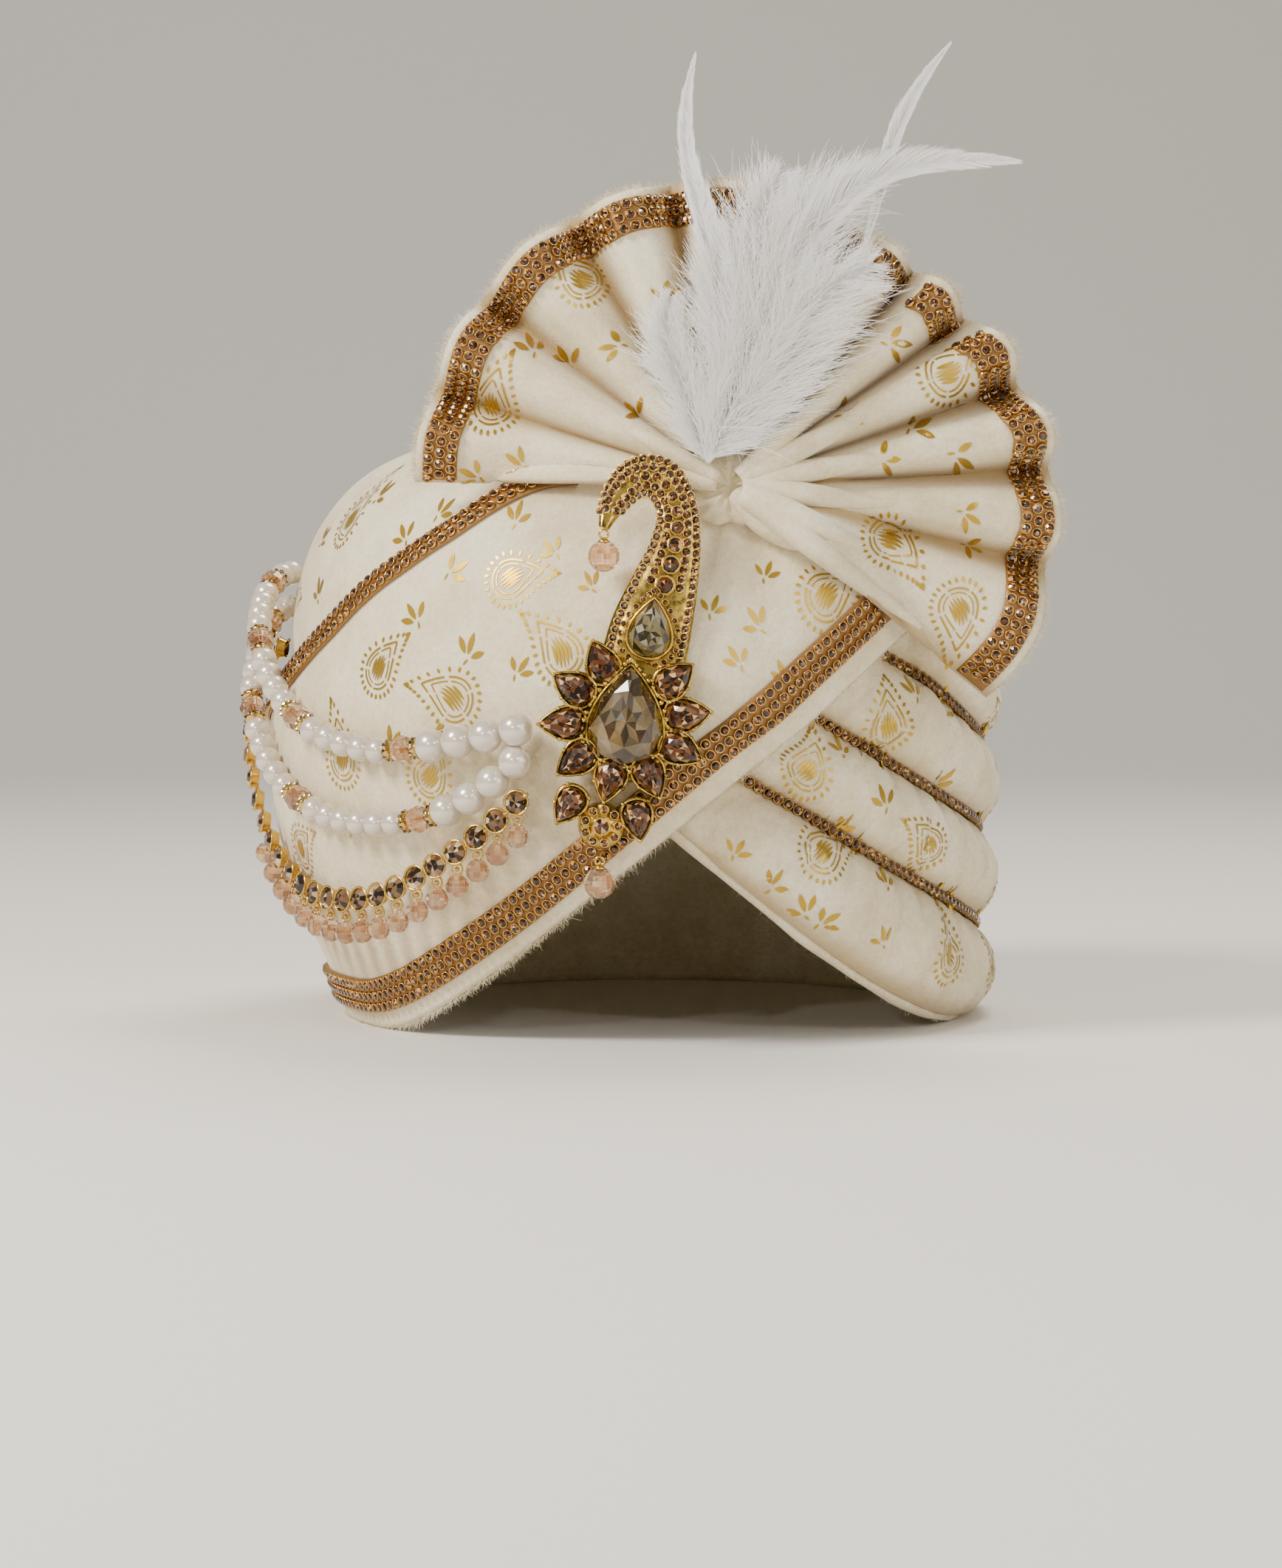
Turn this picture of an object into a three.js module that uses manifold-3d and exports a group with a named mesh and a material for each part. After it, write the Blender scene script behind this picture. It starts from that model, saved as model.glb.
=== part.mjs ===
// A ready-tied groom's pagri: a stiff velvet crown, a wrap crossing the brow over four padded rolls,
// a pleated fan, a feather plume, and a jewelled brooch with two strings of pearls and a crystal fringe.
// Millimetres. The origin is the middle of the head opening, on the surface that the rim rests on.
// +X is to the right as the turban is seen from the front, -Y is the front and +Z is up.
// Angles round the head are degrees from the middle of the front, positive towards +X.
import * as THREE from "three";
import { mergeVertices } from "three/addons/utils/BufferGeometryUtils.js";
import Module from "manifold-3d";

const wasm = await Module();
wasm.setup();
const { degToRad, lerp, smoothstep, clamp } = THREE.MathUtils;

// Driving dimensions
const GAP = 0.5; // air between separate pieces
const CLOTH = 3; // velvet over buckram
const CROWN = {
  shoulder: 90, // height of the widest girth
  top: 172,
  rimHalfWidth: 87,
  halfWidth: 98,
  rimHalfDepth: 102,
  halfDepth: 108,
  rimShift: 1, // sideways shift of the section
  shift: -8.5,
  fullness: 3.2, // exponent of the dome, 2 being round
  swell: 1.3,
  columns: 28,
  lowRows: 3,
  domeRows: 5,
  lastDomeTurn: 84, // degrees of the dome's profile at the flat top
};
const BROW = 7; // angle of the peak where the wrap's hem crosses the lowest roll
const RIM_SETBACK = 4.5; // crown hidden behind the hems at the front
const WRAP = { seat: 1.2, tuck: 8, tuckFrom: -25, tuckTo: 5, puff: 4.4, step: 8, rows: 6 };
const ROLL = { height: 11.5, tucked: 5.6, under: 5, swellOver: 12, side: 1.6, seat: 0.9, end: 172, steps: 16 };
const CHAIN = { radius: 1.6, proud: 1.2, sides: 6, start: 2.5, end: 168, steps: 15 };
const TAPE = { width: 9.5, narrow: 6.5, thick: 1.3, hemMargin: 4.5, browMargin: 7.5, topMargin: 1, seat: 0.9, hemEnd: 45, topEnd: -13 };
const FAN = {
  x: 21,
  y: -101,
  z: 155,
  hub: 15, // radius of the gathered middle
  lean: 0.2, // backwards, for each millimetre out
  clear: 3, // kept off the cloth that it drapes over
  thick: 2,
  rows: [0, 0.35, 0.75, 1],
};
const GATHER = { radius: 14.3, depth: 6.5, ribs: 7, rib: 1.1, sides: 28 };
const BROOCH = { x: -7.5, z: 91, y: -125.2, plate: 2.4, cup: 1.6, stone: 3.2, ring: 17, neckThick: 3.2, neckLift: 14.5 };
const DROP = { radius: 4.4, sides: 12, wire: 0.4, link: 1.1, play: 0.3 };
const PEARL = { large: 7.6, small: 6, cap: 1.6, crystal: 6.4, sides: 10, neck: 0.45 };
const FRINGE = { cup: 6, cupPitch: 8.6, cupSides: 8, bead: 6.8, hang: 8.6, wire: 1.3, bare: 8 };
const FRINGE_CUP = [
  { share: 0.04, swell: 0.4 },
  { share: 0.3, swell: 1 },
  { share: 0.7, swell: 1 },
];

// The wrap's lower hem and upper edge, from its butt at the back round the left to its tucked end.
const WRAP_EDGES = [
  { angle: -187.4, hem: 0, top: 90 },
  { angle: -120, hem: 0, top: 90 },
  { angle: -90, hem: 0, top: 95 },
  { angle: -70, hem: 0, top: 104 },
  { angle: -55, hem: 1, top: 117 },
  { angle: -40, hem: 9, top: 134 },
  { angle: -20, hem: 27, top: 152 },
  { angle: 0, hem: 51, top: 153 },
  { angle: 20, hem: 79, top: 153 },
  { angle: 40, hem: 104.5, top: 150 },
  { angle: 57, hem: 121, top: 143 },
];

// Heights of the seams between the rolls, the lowest roll's edge first.
const SEAMS = [
  { angle: 0, seam0: 71, seam1: 94, seam2: 124, seam3: 151, seam4: 168 },
  { angle: 15, seam0: 47.5, seam1: 78.5, seam2: 108, seam3: 137, seam4: 159 },
  { angle: 30, seam0: 27, seam1: 62.5, seam2: 92.5, seam3: 122, seam4: 146 },
  { angle: 45, seam0: 12.5, seam1: 48.5, seam2: 77.5, seam3: 107.5, seam4: 131 },
  { angle: 60, seam0: 4, seam1: 38, seam2: 66.5, seam3: 95, seam4: 117 },
  { angle: 75, seam0: 1, seam1: 30.5, seam2: 59, seam3: 85.5, seam4: 107 },
  { angle: 90, seam0: 0, seam1: 26, seam2: 54, seam3: 80, seam4: 101 },
  { angle: 120, seam0: 0, seam1: 24.5, seam2: 51, seam3: 76, seam4: 95 },
  { angle: 174, seam0: 0, seam1: 23, seam2: 48, seam3: 71, seam4: 90 },
];

// Each pleat of the fan: the bearing of its ridge and of the fold after it, and how far the ridge stands out.
const PLEATS = [
  { ridge: 171, fold: 162, rise: 5, reach: 87 },
  { ridge: 151, fold: 143, rise: 7, reach: 87 },
  { ridge: 131, fold: 121, rise: 7, reach: 87 },
  { ridge: 111, fold: 101, rise: 6, reach: 86 },
  { ridge: 91, fold: 81, rise: 6, reach: 84 },
  { ridge: 71, fold: 62, rise: 6, reach: 81 },
  { ridge: 55, fold: 49, rise: 7, reach: 80 },
  { ridge: 42, fold: 35, rise: 8, reach: 82 },
  { ridge: 27, fold: 19, rise: 8, reach: 87 },
  { ridge: 10, fold: 3, rise: 7, reach: 91 },
  { ridge: -7, fold: -14, rise: 6, reach: 93 },
  { ridge: -25, fold: -39, rise: 5, reach: 95 },
];
const FAN_START = 179; // bearing of the fan's free edge on the left

// Feather locks of the plume, in millimetres from its root: the tip, the sideways bow and the widest half width.
const LOCKS = [
  { tipX: -3, tipY: 18, tipZ: 114, bow: 1, half: 5 },
  { tipX: 68, tipY: 20, tipZ: 117, bow: 1, half: 7 },
  { tipX: 88, tipY: 16, tipZ: 83, bow: -28, half: 9 },
  { tipX: 44, tipY: 14, tipZ: 80, bow: -7, half: 11 },
  { tipX: 20, tipY: 14, tipZ: 80, bow: 2, half: 11 },
  { tipX: 6, tipY: 11, tipZ: 64, bow: 3, half: 9 },
  { tipX: 46, tipY: 7, tipZ: 55, bow: -4, half: 10 },
  { tipX: -10, tipY: 7, tipZ: 46, bow: -3, half: 6 },
];
const PLUME = { x: 15, y: -111, z: 161, headRadius: 4.2, thick: 4, steps: 5 };

// Petal stones of the brooch: bearing and distance of each from the middle stone.
const PETALS = [
  { bearing: 112, reach: 17.4 },
  { bearing: 147, reach: 17 },
  { bearing: 182, reach: 17 },
  { bearing: 218, reach: 17 },
  { bearing: 255, reach: 17 },
  { bearing: 294, reach: 17 },
  { bearing: 333, reach: 17 },
  { bearing: 6, reach: 17 },
  { bearing: 40, reach: 17.6 },
  { bearing: 236, reach: 26.6 },
  { bearing: 277, reach: 26 },
];
const PETAL = { length: 11.6, width: 8.8 };
const MIDDLE_STONE = { x: BROOCH.x, z: BROOCH.z - 2, length: 27, width: 20, tilt: -5 };
const NECK_STONE = { x: -1, z: 114, length: 14.5, width: 10.5, tilt: -8 };
const FOOT = { x: -14, z: 62.5, radius: 6.5 };

// Middle line of the brooch's swan neck, seen from the front, its half width and how far its beak leans out.
const NECK = [
  { x: -3, z: 106, half: 11.5, out: 0 },
  { x: -0.5, z: 116, half: 11, out: 0 },
  { x: 3, z: 127, half: 9.2, out: 0 },
  { x: 6, z: 138, half: 7, out: 1.5 },
  { x: 6.5, z: 148, half: 5.6, out: 3.5 },
  { x: 2.5, z: 156, half: 5.4, out: 4.5 },
  { x: -4, z: 157, half: 4.6, out: 4.5 },
  { x: -9, z: 152.5, half: 3.2, out: 4.5 },
  { x: -12, z: 147, half: 1.6, out: 4.5 },
  { x: -13.4, z: 143, half: 0.7, out: 4.5 },
];

// Routes of the strings over the wrap: angle, height and height of the string's middle off the crown.
const UPPER_STRING = [
  { angle: -12, height: 89.5, lift: 20.5 },
  { angle: -19, height: 86.5, lift: 18 },
  { angle: -29, height: 83, lift: 14.5 },
  { angle: -39, height: 81.5, lift: 12.6 },
  { angle: -48, height: 84, lift: 12 },
  { angle: -57, height: 89.5, lift: 12 },
  { angle: -66, height: 98, lift: 12 },
  { angle: -76, height: 109, lift: 11 },
  { angle: -88, height: 119.5, lift: 9 },
  { angle: -97, height: 125, lift: 7.6 },
  { angle: -104, height: 127, lift: 6.2 },
];
const LOWER_STRING = [
  { angle: -12.8, height: 82.5, lift: 20 },
  { angle: -20, height: 71.5, lift: 17 },
  { angle: -29, height: 64, lift: 14 },
  { angle: -39, height: 61, lift: 12.8 },
  { angle: -50, height: 62, lift: 12.4 },
  { angle: -61, height: 68, lift: 12.2 },
  { angle: -71, height: 79, lift: 12 },
  { angle: -80, height: 93, lift: 12 },
  { angle: -89, height: 106, lift: 9.6 },
  { angle: -97, height: 114.5, lift: 7.4 },
  { angle: -104, height: 118, lift: 5.8 },
];
const FRINGE_ROUTE = [
  { angle: -13, height: 71, lift: 20 },
  { angle: -21, height: 59.5, lift: 15.5 },
  { angle: -31, height: 49, lift: 13 },
  { angle: -42, height: 41, lift: 12.2 },
  { angle: -54, height: 38, lift: 11.8 },
  { angle: -65, height: 41, lift: 11.8 },
  { angle: -76, height: 52, lift: 12 },
  { angle: -84, height: 67, lift: 12.2 },
  { angle: -91, height: 84, lift: 12.2 },
  { angle: -97, height: 97, lift: 10 },
  { angle: -104, height: 108, lift: 6 },
];
const ANCHOR = { angle: -105, height: 117.5, width: 7, length: 26, thick: 2, lift: 1 };

// Beads of each string, from the brooch: p a small pearl, P a large one, c a crystal between two gold caps.
const UPPER_BEADS = "PPPPcpppppcppppcppppcpp";
const LOWER_BEADS = "PPPPcppppppcpppppcppppcpp";

// Reads a smooth curve through one named column of a table.
function column(rows, knot, name) {
  const slope = (i) => {
    const a = rows[Math.max(i - 1, 0)];
    const b = rows[Math.min(i + 1, rows.length - 1)];
    return (b[name] - a[name]) / (b[knot] - a[knot]);
  };
  return (at) => {
    const forward = rows[1][knot] > rows[0][knot] ? 1 : -1;
    let i = 0;
    while (i < rows.length - 2 && forward * (at - rows[i + 1][knot]) > 0) i++;
    const span = rows[i + 1][knot] - rows[i][knot];
    const t = clamp((at - rows[i][knot]) / span, 0, 1);
    const rise = (3 - 2 * t) * t * t;
    const start = t * (1 - t) * (1 - t) * slope(i) * span;
    const finish = t * t * (1 - t) * slope(i + 1) * span;
    return lerp(rows[i][name], rows[i + 1][name], rise) + start - finish;
  };
}
const wrapHem = (angle) => Math.max(0, column(WRAP_EDGES, "angle", "hem")(angle));
const wrapTop = column(WRAP_EDGES, "angle", "top");
const seam = (number) => (angle) => Math.max(0, column(SEAMS, "angle", "seam" + number)(angle));

// Half width, half depth and sideways shift of the crown at a height, grown by a lift.
function crownSection(height, lift) {
  if (height <= CROWN.shoulder) {
    const swell = Math.sin(((Math.PI / 2) * height) / CROWN.shoulder) ** CROWN.swell;
    return {
      halfWidth: lerp(CROWN.rimHalfWidth, CROWN.halfWidth, swell) + lift,
      halfDepth: lerp(CROWN.rimHalfDepth, CROWN.halfDepth, swell) + lift,
      shift: lerp(CROWN.rimShift, CROWN.shift, swell),
    };
  }
  const rise = Math.min(1, (height - CROWN.shoulder) / (CROWN.top + lift - CROWN.shoulder));
  const close = (1 - rise ** CROWN.fullness) ** (1 / CROWN.fullness);
  return {
    halfWidth: (CROWN.halfWidth + lift) * close,
    halfDepth: (CROWN.halfDepth + lift) * close,
    shift: CROWN.shift,
  };
}

// A point on the crown's outer wall, or lifted off it. The dome rises with the lift.
function onCrown(angle, height, lift) {
  const domed = Math.max(0, height - CROWN.shoulder) / (CROWN.top - CROWN.shoulder);
  const raised = height + domed * lift;
  const { halfWidth, halfDepth, shift } = crownSection(raised, lift);
  const turn = degToRad(angle);
  return new THREE.Vector3(shift + halfWidth * Math.sin(turn), -halfDepth * Math.cos(turn), raised);
}

// How far forward the lifted crown stands behind a point of the front view; 0 past its outline.
function frontOf(x, z, lift) {
  const { halfWidth, halfDepth, shift } = crownSection(clamp(z, 0, CROWN.top + lift - 1), lift);
  return -halfDepth * Math.sqrt(Math.max(0, 1 - ((x - shift) / halfWidth) ** 2));
}

// A closed solid over rings of equal, even point count, with its ends closed by rungs across the ring.
function skin(rings) {
  const count = rings[0].length;
  const end = (rings.length - 1) * count;
  const index = [];
  const quad = (a, b, c, d) => index.push(a, b, c, a, c, d);
  for (let row = 0; row < end; row += count) {
    for (let i = 0; i < count; i++) {
      const j = (i + 1) % count;
      quad(row + i, row + j, row + count + j, row + count + i);
    }
  }
  for (let i = 0; i < count / 2 - 1; i++) {
    const far = count - 1 - i;
    quad(i + 1, i, far, far - 1);
    quad(end + i, end + i + 1, end + far - 1, end + far);
  }
  const geometry = new THREE.BufferGeometry().setFromPoints(rings.flat());
  geometry.setIndex(index);
  if (signedVolume(geometry) < 0) geometry.setIndex(index.reverse());
  return geometry;
}

function signedVolume(geometry) {
  const [a, b, c] = [new THREE.Vector3(), new THREE.Vector3(), new THREE.Vector3()];
  const place = geometry.getAttribute("position");
  const index = geometry.getIndex().array;
  let sum = 0;
  for (let i = 0; i < index.length; i += 3) {
    [a, b, c].forEach((corner, k) => corner.fromBufferAttribute(place, index[i + k]));
    sum += a.dot(b.cross(c));
  }
  return sum / 6;
}

// A wall between two matching lists of points for each station.
const wall = (stations) => skin(stations.map(({ outer, inner }) => [...outer, ...inner.reverse()]));

const spread = (from, to, steps) => Array.from({ length: steps + 1 }, (_, i) => lerp(from, to, i / steps));

// Joins closed geometries into one solid.
function fuse(geometries) {
  const solids = geometries.map((geometry) => {
    const bare = geometry.clone();
    ["normal", "uv"].forEach((name) => bare.deleteAttribute(name));
    const merged = mergeVertices(bare, 1e-3);
    const vertProperties = new Float32Array(merged.getAttribute("position").array);
    return new wasm.Manifold(new wasm.Mesh({ numProp: 3, vertProperties, triVerts: new Uint32Array(merged.index.array) }));
  });
  const mesh = solids.reduce((whole, next) => whole.add(next)).getMesh();
  const joined = new THREE.BufferGeometry();
  joined.setAttribute("position", new THREE.BufferAttribute(mesh.vertProperties, 3));
  joined.setIndex(new THREE.BufferAttribute(mesh.triVerts, 1));
  return joined;
}

// Crown: a hollow dome whose rim arches up over the brow behind the hems.
const hemOrRoll = (angle) => (angle > BROW ? seam(0)(angle) : wrapHem(angle));

function crownRim(angle) {
  const edge = hemOrRoll(angle);
  return edge + RIM_SETBACK * smoothstep(edge, 0.5, 8);
}

function crownRing(row, lift) {
  return spread(BROW - 180, BROW + 180, CROWN.columns)
    .slice(0, -1)
    .map((angle) => onCrown(angle, row.height ?? lerp(crownRim(angle), CROWN.shoulder, row.below), lift));
}

function crown() {
  const low = spread(0, 1, CROWN.lowRows).map((below) => ({ below }));
  const dome = spread(0, CROWN.lastDomeTurn, CROWN.domeRows)
    .slice(1)
    .map((turn) => Math.sin(degToRad(turn)) ** (2 / CROWN.fullness))
    .map((rise) => ({ height: lerp(CROWN.shoulder, CROWN.top, rise) }));
  const rows = [...low, ...dome];
  const inner = rows.map((row) => crownRing(row, -CLOTH)).reverse();
  return skin([...inner, ...rows.map((row) => crownRing(row, 0))]);
}

// Wrap: one padded panel from the back, round the left and up across the brow, its hem standing off over the rolls.
function acrossWrap(angle, height) {
  return clamp((height - wrapHem(angle)) / (wrapTop(angle) - wrapHem(angle)), 0, 1);
}

function wrapBed(angle, height) {
  const overRolls = smoothstep(angle, WRAP.tuckFrom, WRAP.tuckTo) * (1 - smoothstep(acrossWrap(angle, height), 0.3, 0.9));
  return WRAP.seat + WRAP.tuck * overRolls;
}

function wrapLift(angle, height) {
  return wrapBed(angle, height) + CLOTH + WRAP.puff * Math.sin(Math.PI * acrossWrap(angle, height)) ** 0.8;
}

const WRAP_ENDS = [WRAP_EDGES[0].angle, WRAP_EDGES.at(-1).angle];
const WRAP_STATIONS = spread(...WRAP_ENDS, Math.round((WRAP_ENDS[1] - WRAP_ENDS[0]) / WRAP.step));

function wrap() {
  return wall(
    WRAP_STATIONS.map((angle) => {
      const heights = spread(wrapHem(angle), wrapTop(angle), WRAP.rows);
      return {
        outer: heights.map((height) => onCrown(angle, height, wrapLift(angle, height))),
        inner: heights.map((height) => onCrown(angle, height, wrapBed(angle, height))),
      };
    }),
  );
}

// Jewelled tapes on the wrap, a set distance in from its hem or from its upper edge.
function tape(end, width, low) {
  return wall(
    WRAP_STATIONS.filter((angle) => angle < end).map((angle) => {
      const slope = (low(angle + 1) - low(angle - 1)) / (2 * degToRad(1) * CROWN.halfDepth);
      const heights = spread(low(angle), low(angle) + width * Math.hypot(1, slope), 2);
      const lifts = heights.map((height) => wrapLift(angle, height) + TAPE.seat);
      return {
        outer: heights.map((height, i) => onCrown(angle, height, lifts[i] + TAPE.thick)),
        inner: heights.map((height, i) => onCrown(angle, height, lifts[i])),
      };
    }),
  );
}

function hemTape() {
  const margin = (angle) => lerp(TAPE.hemMargin, TAPE.browMargin, smoothstep(angle, -15, 15));
  return tape(TAPE.hemEnd, TAPE.width, (angle) => wrapHem(angle) + margin(angle));
}

function topTape() {
  return tape(TAPE.topEnd, TAPE.narrow, (angle) => wrapTop(angle) - TAPE.topMargin - TAPE.narrow * 1.25);
}

// Rolls: padded bolsters between two seams, from under the wrap's hem round the right to the back.
function hemCrossing(heightAt) {
  let [low, high] = [0, 90];
  for (let i = 0; i < 24; i++) {
    const middle = (low + high) / 2;
    if (heightAt(middle) > wrapHem(Math.min(middle, WRAP_ENDS[1]))) low = middle;
    else high = middle;
  }
  return low;
}

function rollHeight(past, angle) {
  const swollen = lerp(ROLL.tucked, ROLL.height, smoothstep(past, 1, ROLL.swellOver));
  return swollen * lerp(1, 0.45, smoothstep(angle, 145, ROLL.end));
}

function roll(number) {
  const across = [0.015, 0.08, 0.27, 0.5, 0.73, 0.92, 0.985];
  const lines = across.map((share) => {
    const heightAt = (angle) => lerp(seam(number)(angle), seam(number + 1)(angle), share);
    return { share, heightAt, crossing: hemCrossing(heightAt) };
  });
  const point = ({ share, heightAt, crossing }, along, bulge) => {
    const angle = lerp(crossing - ROLL.under, ROLL.end, along);
    const round = Math.sqrt(1 - (2 * share - 1) ** 2);
    const padding = ROLL.side + (rollHeight(angle - crossing, angle) - ROLL.side) * round;
    return onCrown(angle, heightAt(angle), ROLL.seat + bulge * padding);
  };
  return skin(
    spread(0, 1, ROLL.steps).map((along) => [
      ...lines.map((line) => point(line, along, 1)),
      point(lines[3], along, 0),
    ]),
  );
}

// A single row of stones lying in the groove between two rolls.
function grooveChain(number) {
  const crossing = hemCrossing(seam(number));
  const rings = spread(crossing + CHAIN.start, CHAIN.end, CHAIN.steps).map((angle) => {
    const padding = rollHeight(angle - crossing, angle) - ROLL.side;
    const lift = ROLL.seat + ROLL.side + 0.62 * padding + CHAIN.proud;
    return spread(0, 360, CHAIN.sides)
      .slice(0, -1)
      .map((turn) => {
        const side = CHAIN.radius * Math.cos(degToRad(turn));
        const out = CHAIN.radius * Math.sin(degToRad(turn));
        return onCrown(angle, seam(number)(angle) + side, lift + out);
      });
  });
  return skin(rings);
}

// Fan: pleats gathered at the hub, standing over the crown and draping on the rolls at the lower right.
const FOLDS = PLEATS.flatMap(({ ridge, fold, rise, reach }) => [
  { bearing: ridge, wave: rise, reach },
  { bearing: fold, wave: -rise, reach: reach - 1.5 },
]);
const FAN_FOLDS = [{ bearing: FAN_START, wave: -1, reach: PLEATS[0].reach }, ...FOLDS];
const foldWave = column(FAN_FOLDS, "bearing", "wave");
const fanReach = column(FAN_FOLDS, "bearing", "reach");

// Thickness under the fan: bare crown at its left end, then the wrap, and the hem over the rolls at the right.
function layersUnderFan(x) {
  const wrapped = (CLOTH + WRAP.puff) * smoothstep(x, -60, -35);
  const rolled = (WRAP.tuck + TAPE.seat + TAPE.thick) * smoothstep(x, 10, 50);
  return wrapped + rolled;
}

function onFan(bearing, radius, out) {
  const x = FAN.x + radius * Math.cos(degToRad(bearing));
  const z = FAN.z + radius * Math.sin(degToRad(bearing));
  const open = FAN.y + FAN.lean * (radius - FAN.hub);
  const draped = frontOf(x, z, layersUnderFan(x)) - FAN.clear;
  const share = clamp(radius / fanReach(bearing), 0, 1);
  return new THREE.Vector3(x, Math.min(open - foldWave(bearing) * share, draped) - out, z);
}

const fanStations = FAN_FOLDS.flatMap(({ bearing }, i) => {
  const next = FAN_FOLDS[i + 1];
  return next ? [bearing, (bearing + next.bearing) / 2] : [bearing];
});

function fan() {
  return wall(
    fanStations.map((bearing) => {
      const radii = FAN.rows.map((share) => lerp(FAN.hub, fanReach(bearing), share));
      return {
        outer: radii.map((radius) => onFan(bearing, radius, FAN.thick / 2)),
        inner: radii.map((radius) => onFan(bearing, radius, -FAN.thick / 2)),
      };
    }),
  );
}

function fanTape() {
  return wall(
    fanStations.map((bearing) => {
      const edge = fanReach(bearing) - 2;
      const radii = [edge - TAPE.width, edge];
      const out = FAN.thick / 2 + GAP;
      return {
        outer: radii.map((radius) => onFan(bearing, radius, out + TAPE.thick)),
        inner: radii.map((radius) => onFan(bearing, radius, out)),
      };
    }),
  );
}

// The bunched cloth in the fan's middle, ribbed where the pleats run into it.
function gather() {
  const profile = [
    { share: 1, out: 0 },
    { share: 1, out: 2.5 },
    { share: 0.75, out: 5.2 },
    { share: 0.3, out: GATHER.depth },
  ];
  const point = (bearing, { share, out }) => {
    const turn = degToRad(bearing);
    const rib = GATHER.rib * Math.cos(turn * GATHER.ribs);
    const radius = share * (GATHER.radius - GATHER.rib + rib);
    const x = FAN.x + radius * Math.cos(turn);
    const z = FAN.z + radius * Math.sin(turn);
    const back = Math.min(FAN.y, frontOf(x, z, layersUnderFan(x)) - 2 * GAP);
    return new THREE.Vector3(x, back - out, z);
  };
  const bearings = spread(0, 360, GATHER.sides).slice(0, -1);
  return skin(profile.map((level) => bearings.map((bearing) => point(bearing, level))));
}

// Plume: flat tapering locks fused to a small head at the root.
function lock({ tipX, tipY, tipZ, bow, half }) {
  const length = Math.hypot(tipX, tipZ);
  const aside = new THREE.Vector3(tipZ / length, 0, -tipX / length);
  const rings = spread(0, 1, PLUME.steps).map((along) => {
    const middle = new THREE.Vector3(tipX, tipY, tipZ).multiplyScalar(along);
    middle.addScaledVector(aside, bow * Math.sin(Math.PI * along));
    const width = half * Math.sin(Math.PI * lerp(0.12, 0.97, along)) ** 0.7;
    const thick = (PLUME.thick / 2) * lerp(1, 0.3, along);
    return [-1, 1].flatMap((side) => [
      middle.clone().addScaledVector(aside, side * width),
      middle.clone().add(new THREE.Vector3(0, side * thick, 0)),
    ]);
  });
  return skin(rings);
}

function plume() {
  const head = new THREE.SphereGeometry(PLUME.headRadius, 10, 6);
  return fuse([head, ...LOCKS.map(lock)]).translate(PLUME.x, PLUME.y, PLUME.z);
}

// A pear outline, pointing up, in the plane of the front view.
function pearOutline(length, width) {
  const round = width / 2;
  const shoulder = degToRad(35);
  const outline = new THREE.Shape();
  outline.moveTo(0, length - round);
  outline.lineTo(-round * Math.cos(shoulder), round * Math.sin(shoulder));
  outline.absarc(0, 0, round, Math.PI - shoulder, 2 * Math.PI + shoulder, false);
  outline.closePath();
  return outline;
}

// Points of a flat outline stood up in the front view, facing -Y.
const FACING = new THREE.Matrix4().makeRotationX(Math.PI / 2);

// A pear-cut stone: girdle, crown facets and table.
function pearStone(length, width, height) {
  const girdle = pearOutline(length, width).getPoints(3).slice(0, -1);
  const outline = girdle.length % 2 ? girdle.slice(0, -1) : girdle;
  const heart = new THREE.Vector2(0, (length - width) / 4);
  const level = (share, out) =>
    outline.map((p) => {
      const q = p.clone().sub(heart).multiplyScalar(share).add(heart);
      return new THREE.Vector3(q.x, -out, q.y);
    });
  return skin([level(0.94, 0), level(1, height * 0.25), level(0.6, height)]);
}

// The pear cup that holds a stone.
function pearCup(length, width, depth) {
  const cup = new THREE.ExtrudeGeometry(pearOutline(length, width), { depth, bevelEnabled: false, curveSegments: 4 });
  return cup.applyMatrix4(FACING);
}

function petalPlace({ bearing, reach }) {
  const turn = degToRad(bearing);
  return { x: BROOCH.x + reach * Math.cos(turn), z: BROOCH.z + reach * Math.sin(turn), tilt: bearing - 90 };
}

function set(geometry, { x, z, tilt }, y) {
  return geometry.rotateY(-degToRad(tilt)).translate(x, y, z);
}

// How far forward the neck stands: it bends back with the dome under it, and its beak leans out again.
const neckFront = (x, z) => Math.max(BROOCH.y, frontOf(x, z, BROOCH.neckLift));

function neck() {
  const line = new THREE.CatmullRomCurve3(NECK.map(({ x, z }) => new THREE.Vector3(x, 0, z)));
  const rows = NECK.map((row, place) => ({ ...row, place }));
  const half = column(rows, "place", "half");
  const out = column(rows, "place", "out");
  const rings = spread(0, 1, 2 * (NECK.length - 1)).map((along) => {
    const place = along * (NECK.length - 1);
    const middle = line.getPoint(along);
    const way = line.getTangent(along);
    const aside = new THREE.Vector3(-way.z, 0, way.x).multiplyScalar(half(place));
    const back = neckFront(middle.x, middle.z) - out(place);
    const edge = (side, thick) => middle.clone().addScaledVector(aside, side).setY(back - thick);
    const front = [-1, -0.5, 0.5, 1].map((side) => edge(side, BROOCH.neckThick * (Math.abs(side) < 1 ? 1 : 0.55)));
    return [...front, edge(1, 0), edge(-1, 0)];
  });
  return skin(rings);
}

const BEAK = NECK.at(-1);
const BEAK_LOOP = { x: BEAK.x, y: neckFront(BEAK.x, BEAK.z) - BEAK.out - BROOCH.neckThick * 0.28, z: BEAK.z - DROP.link };
const FOOT_LOOP = { x: FOOT.x - 0.5, y: BROOCH.y - 2, z: FOOT.z - FOOT.radius - DROP.link * 0.6 };

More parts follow.
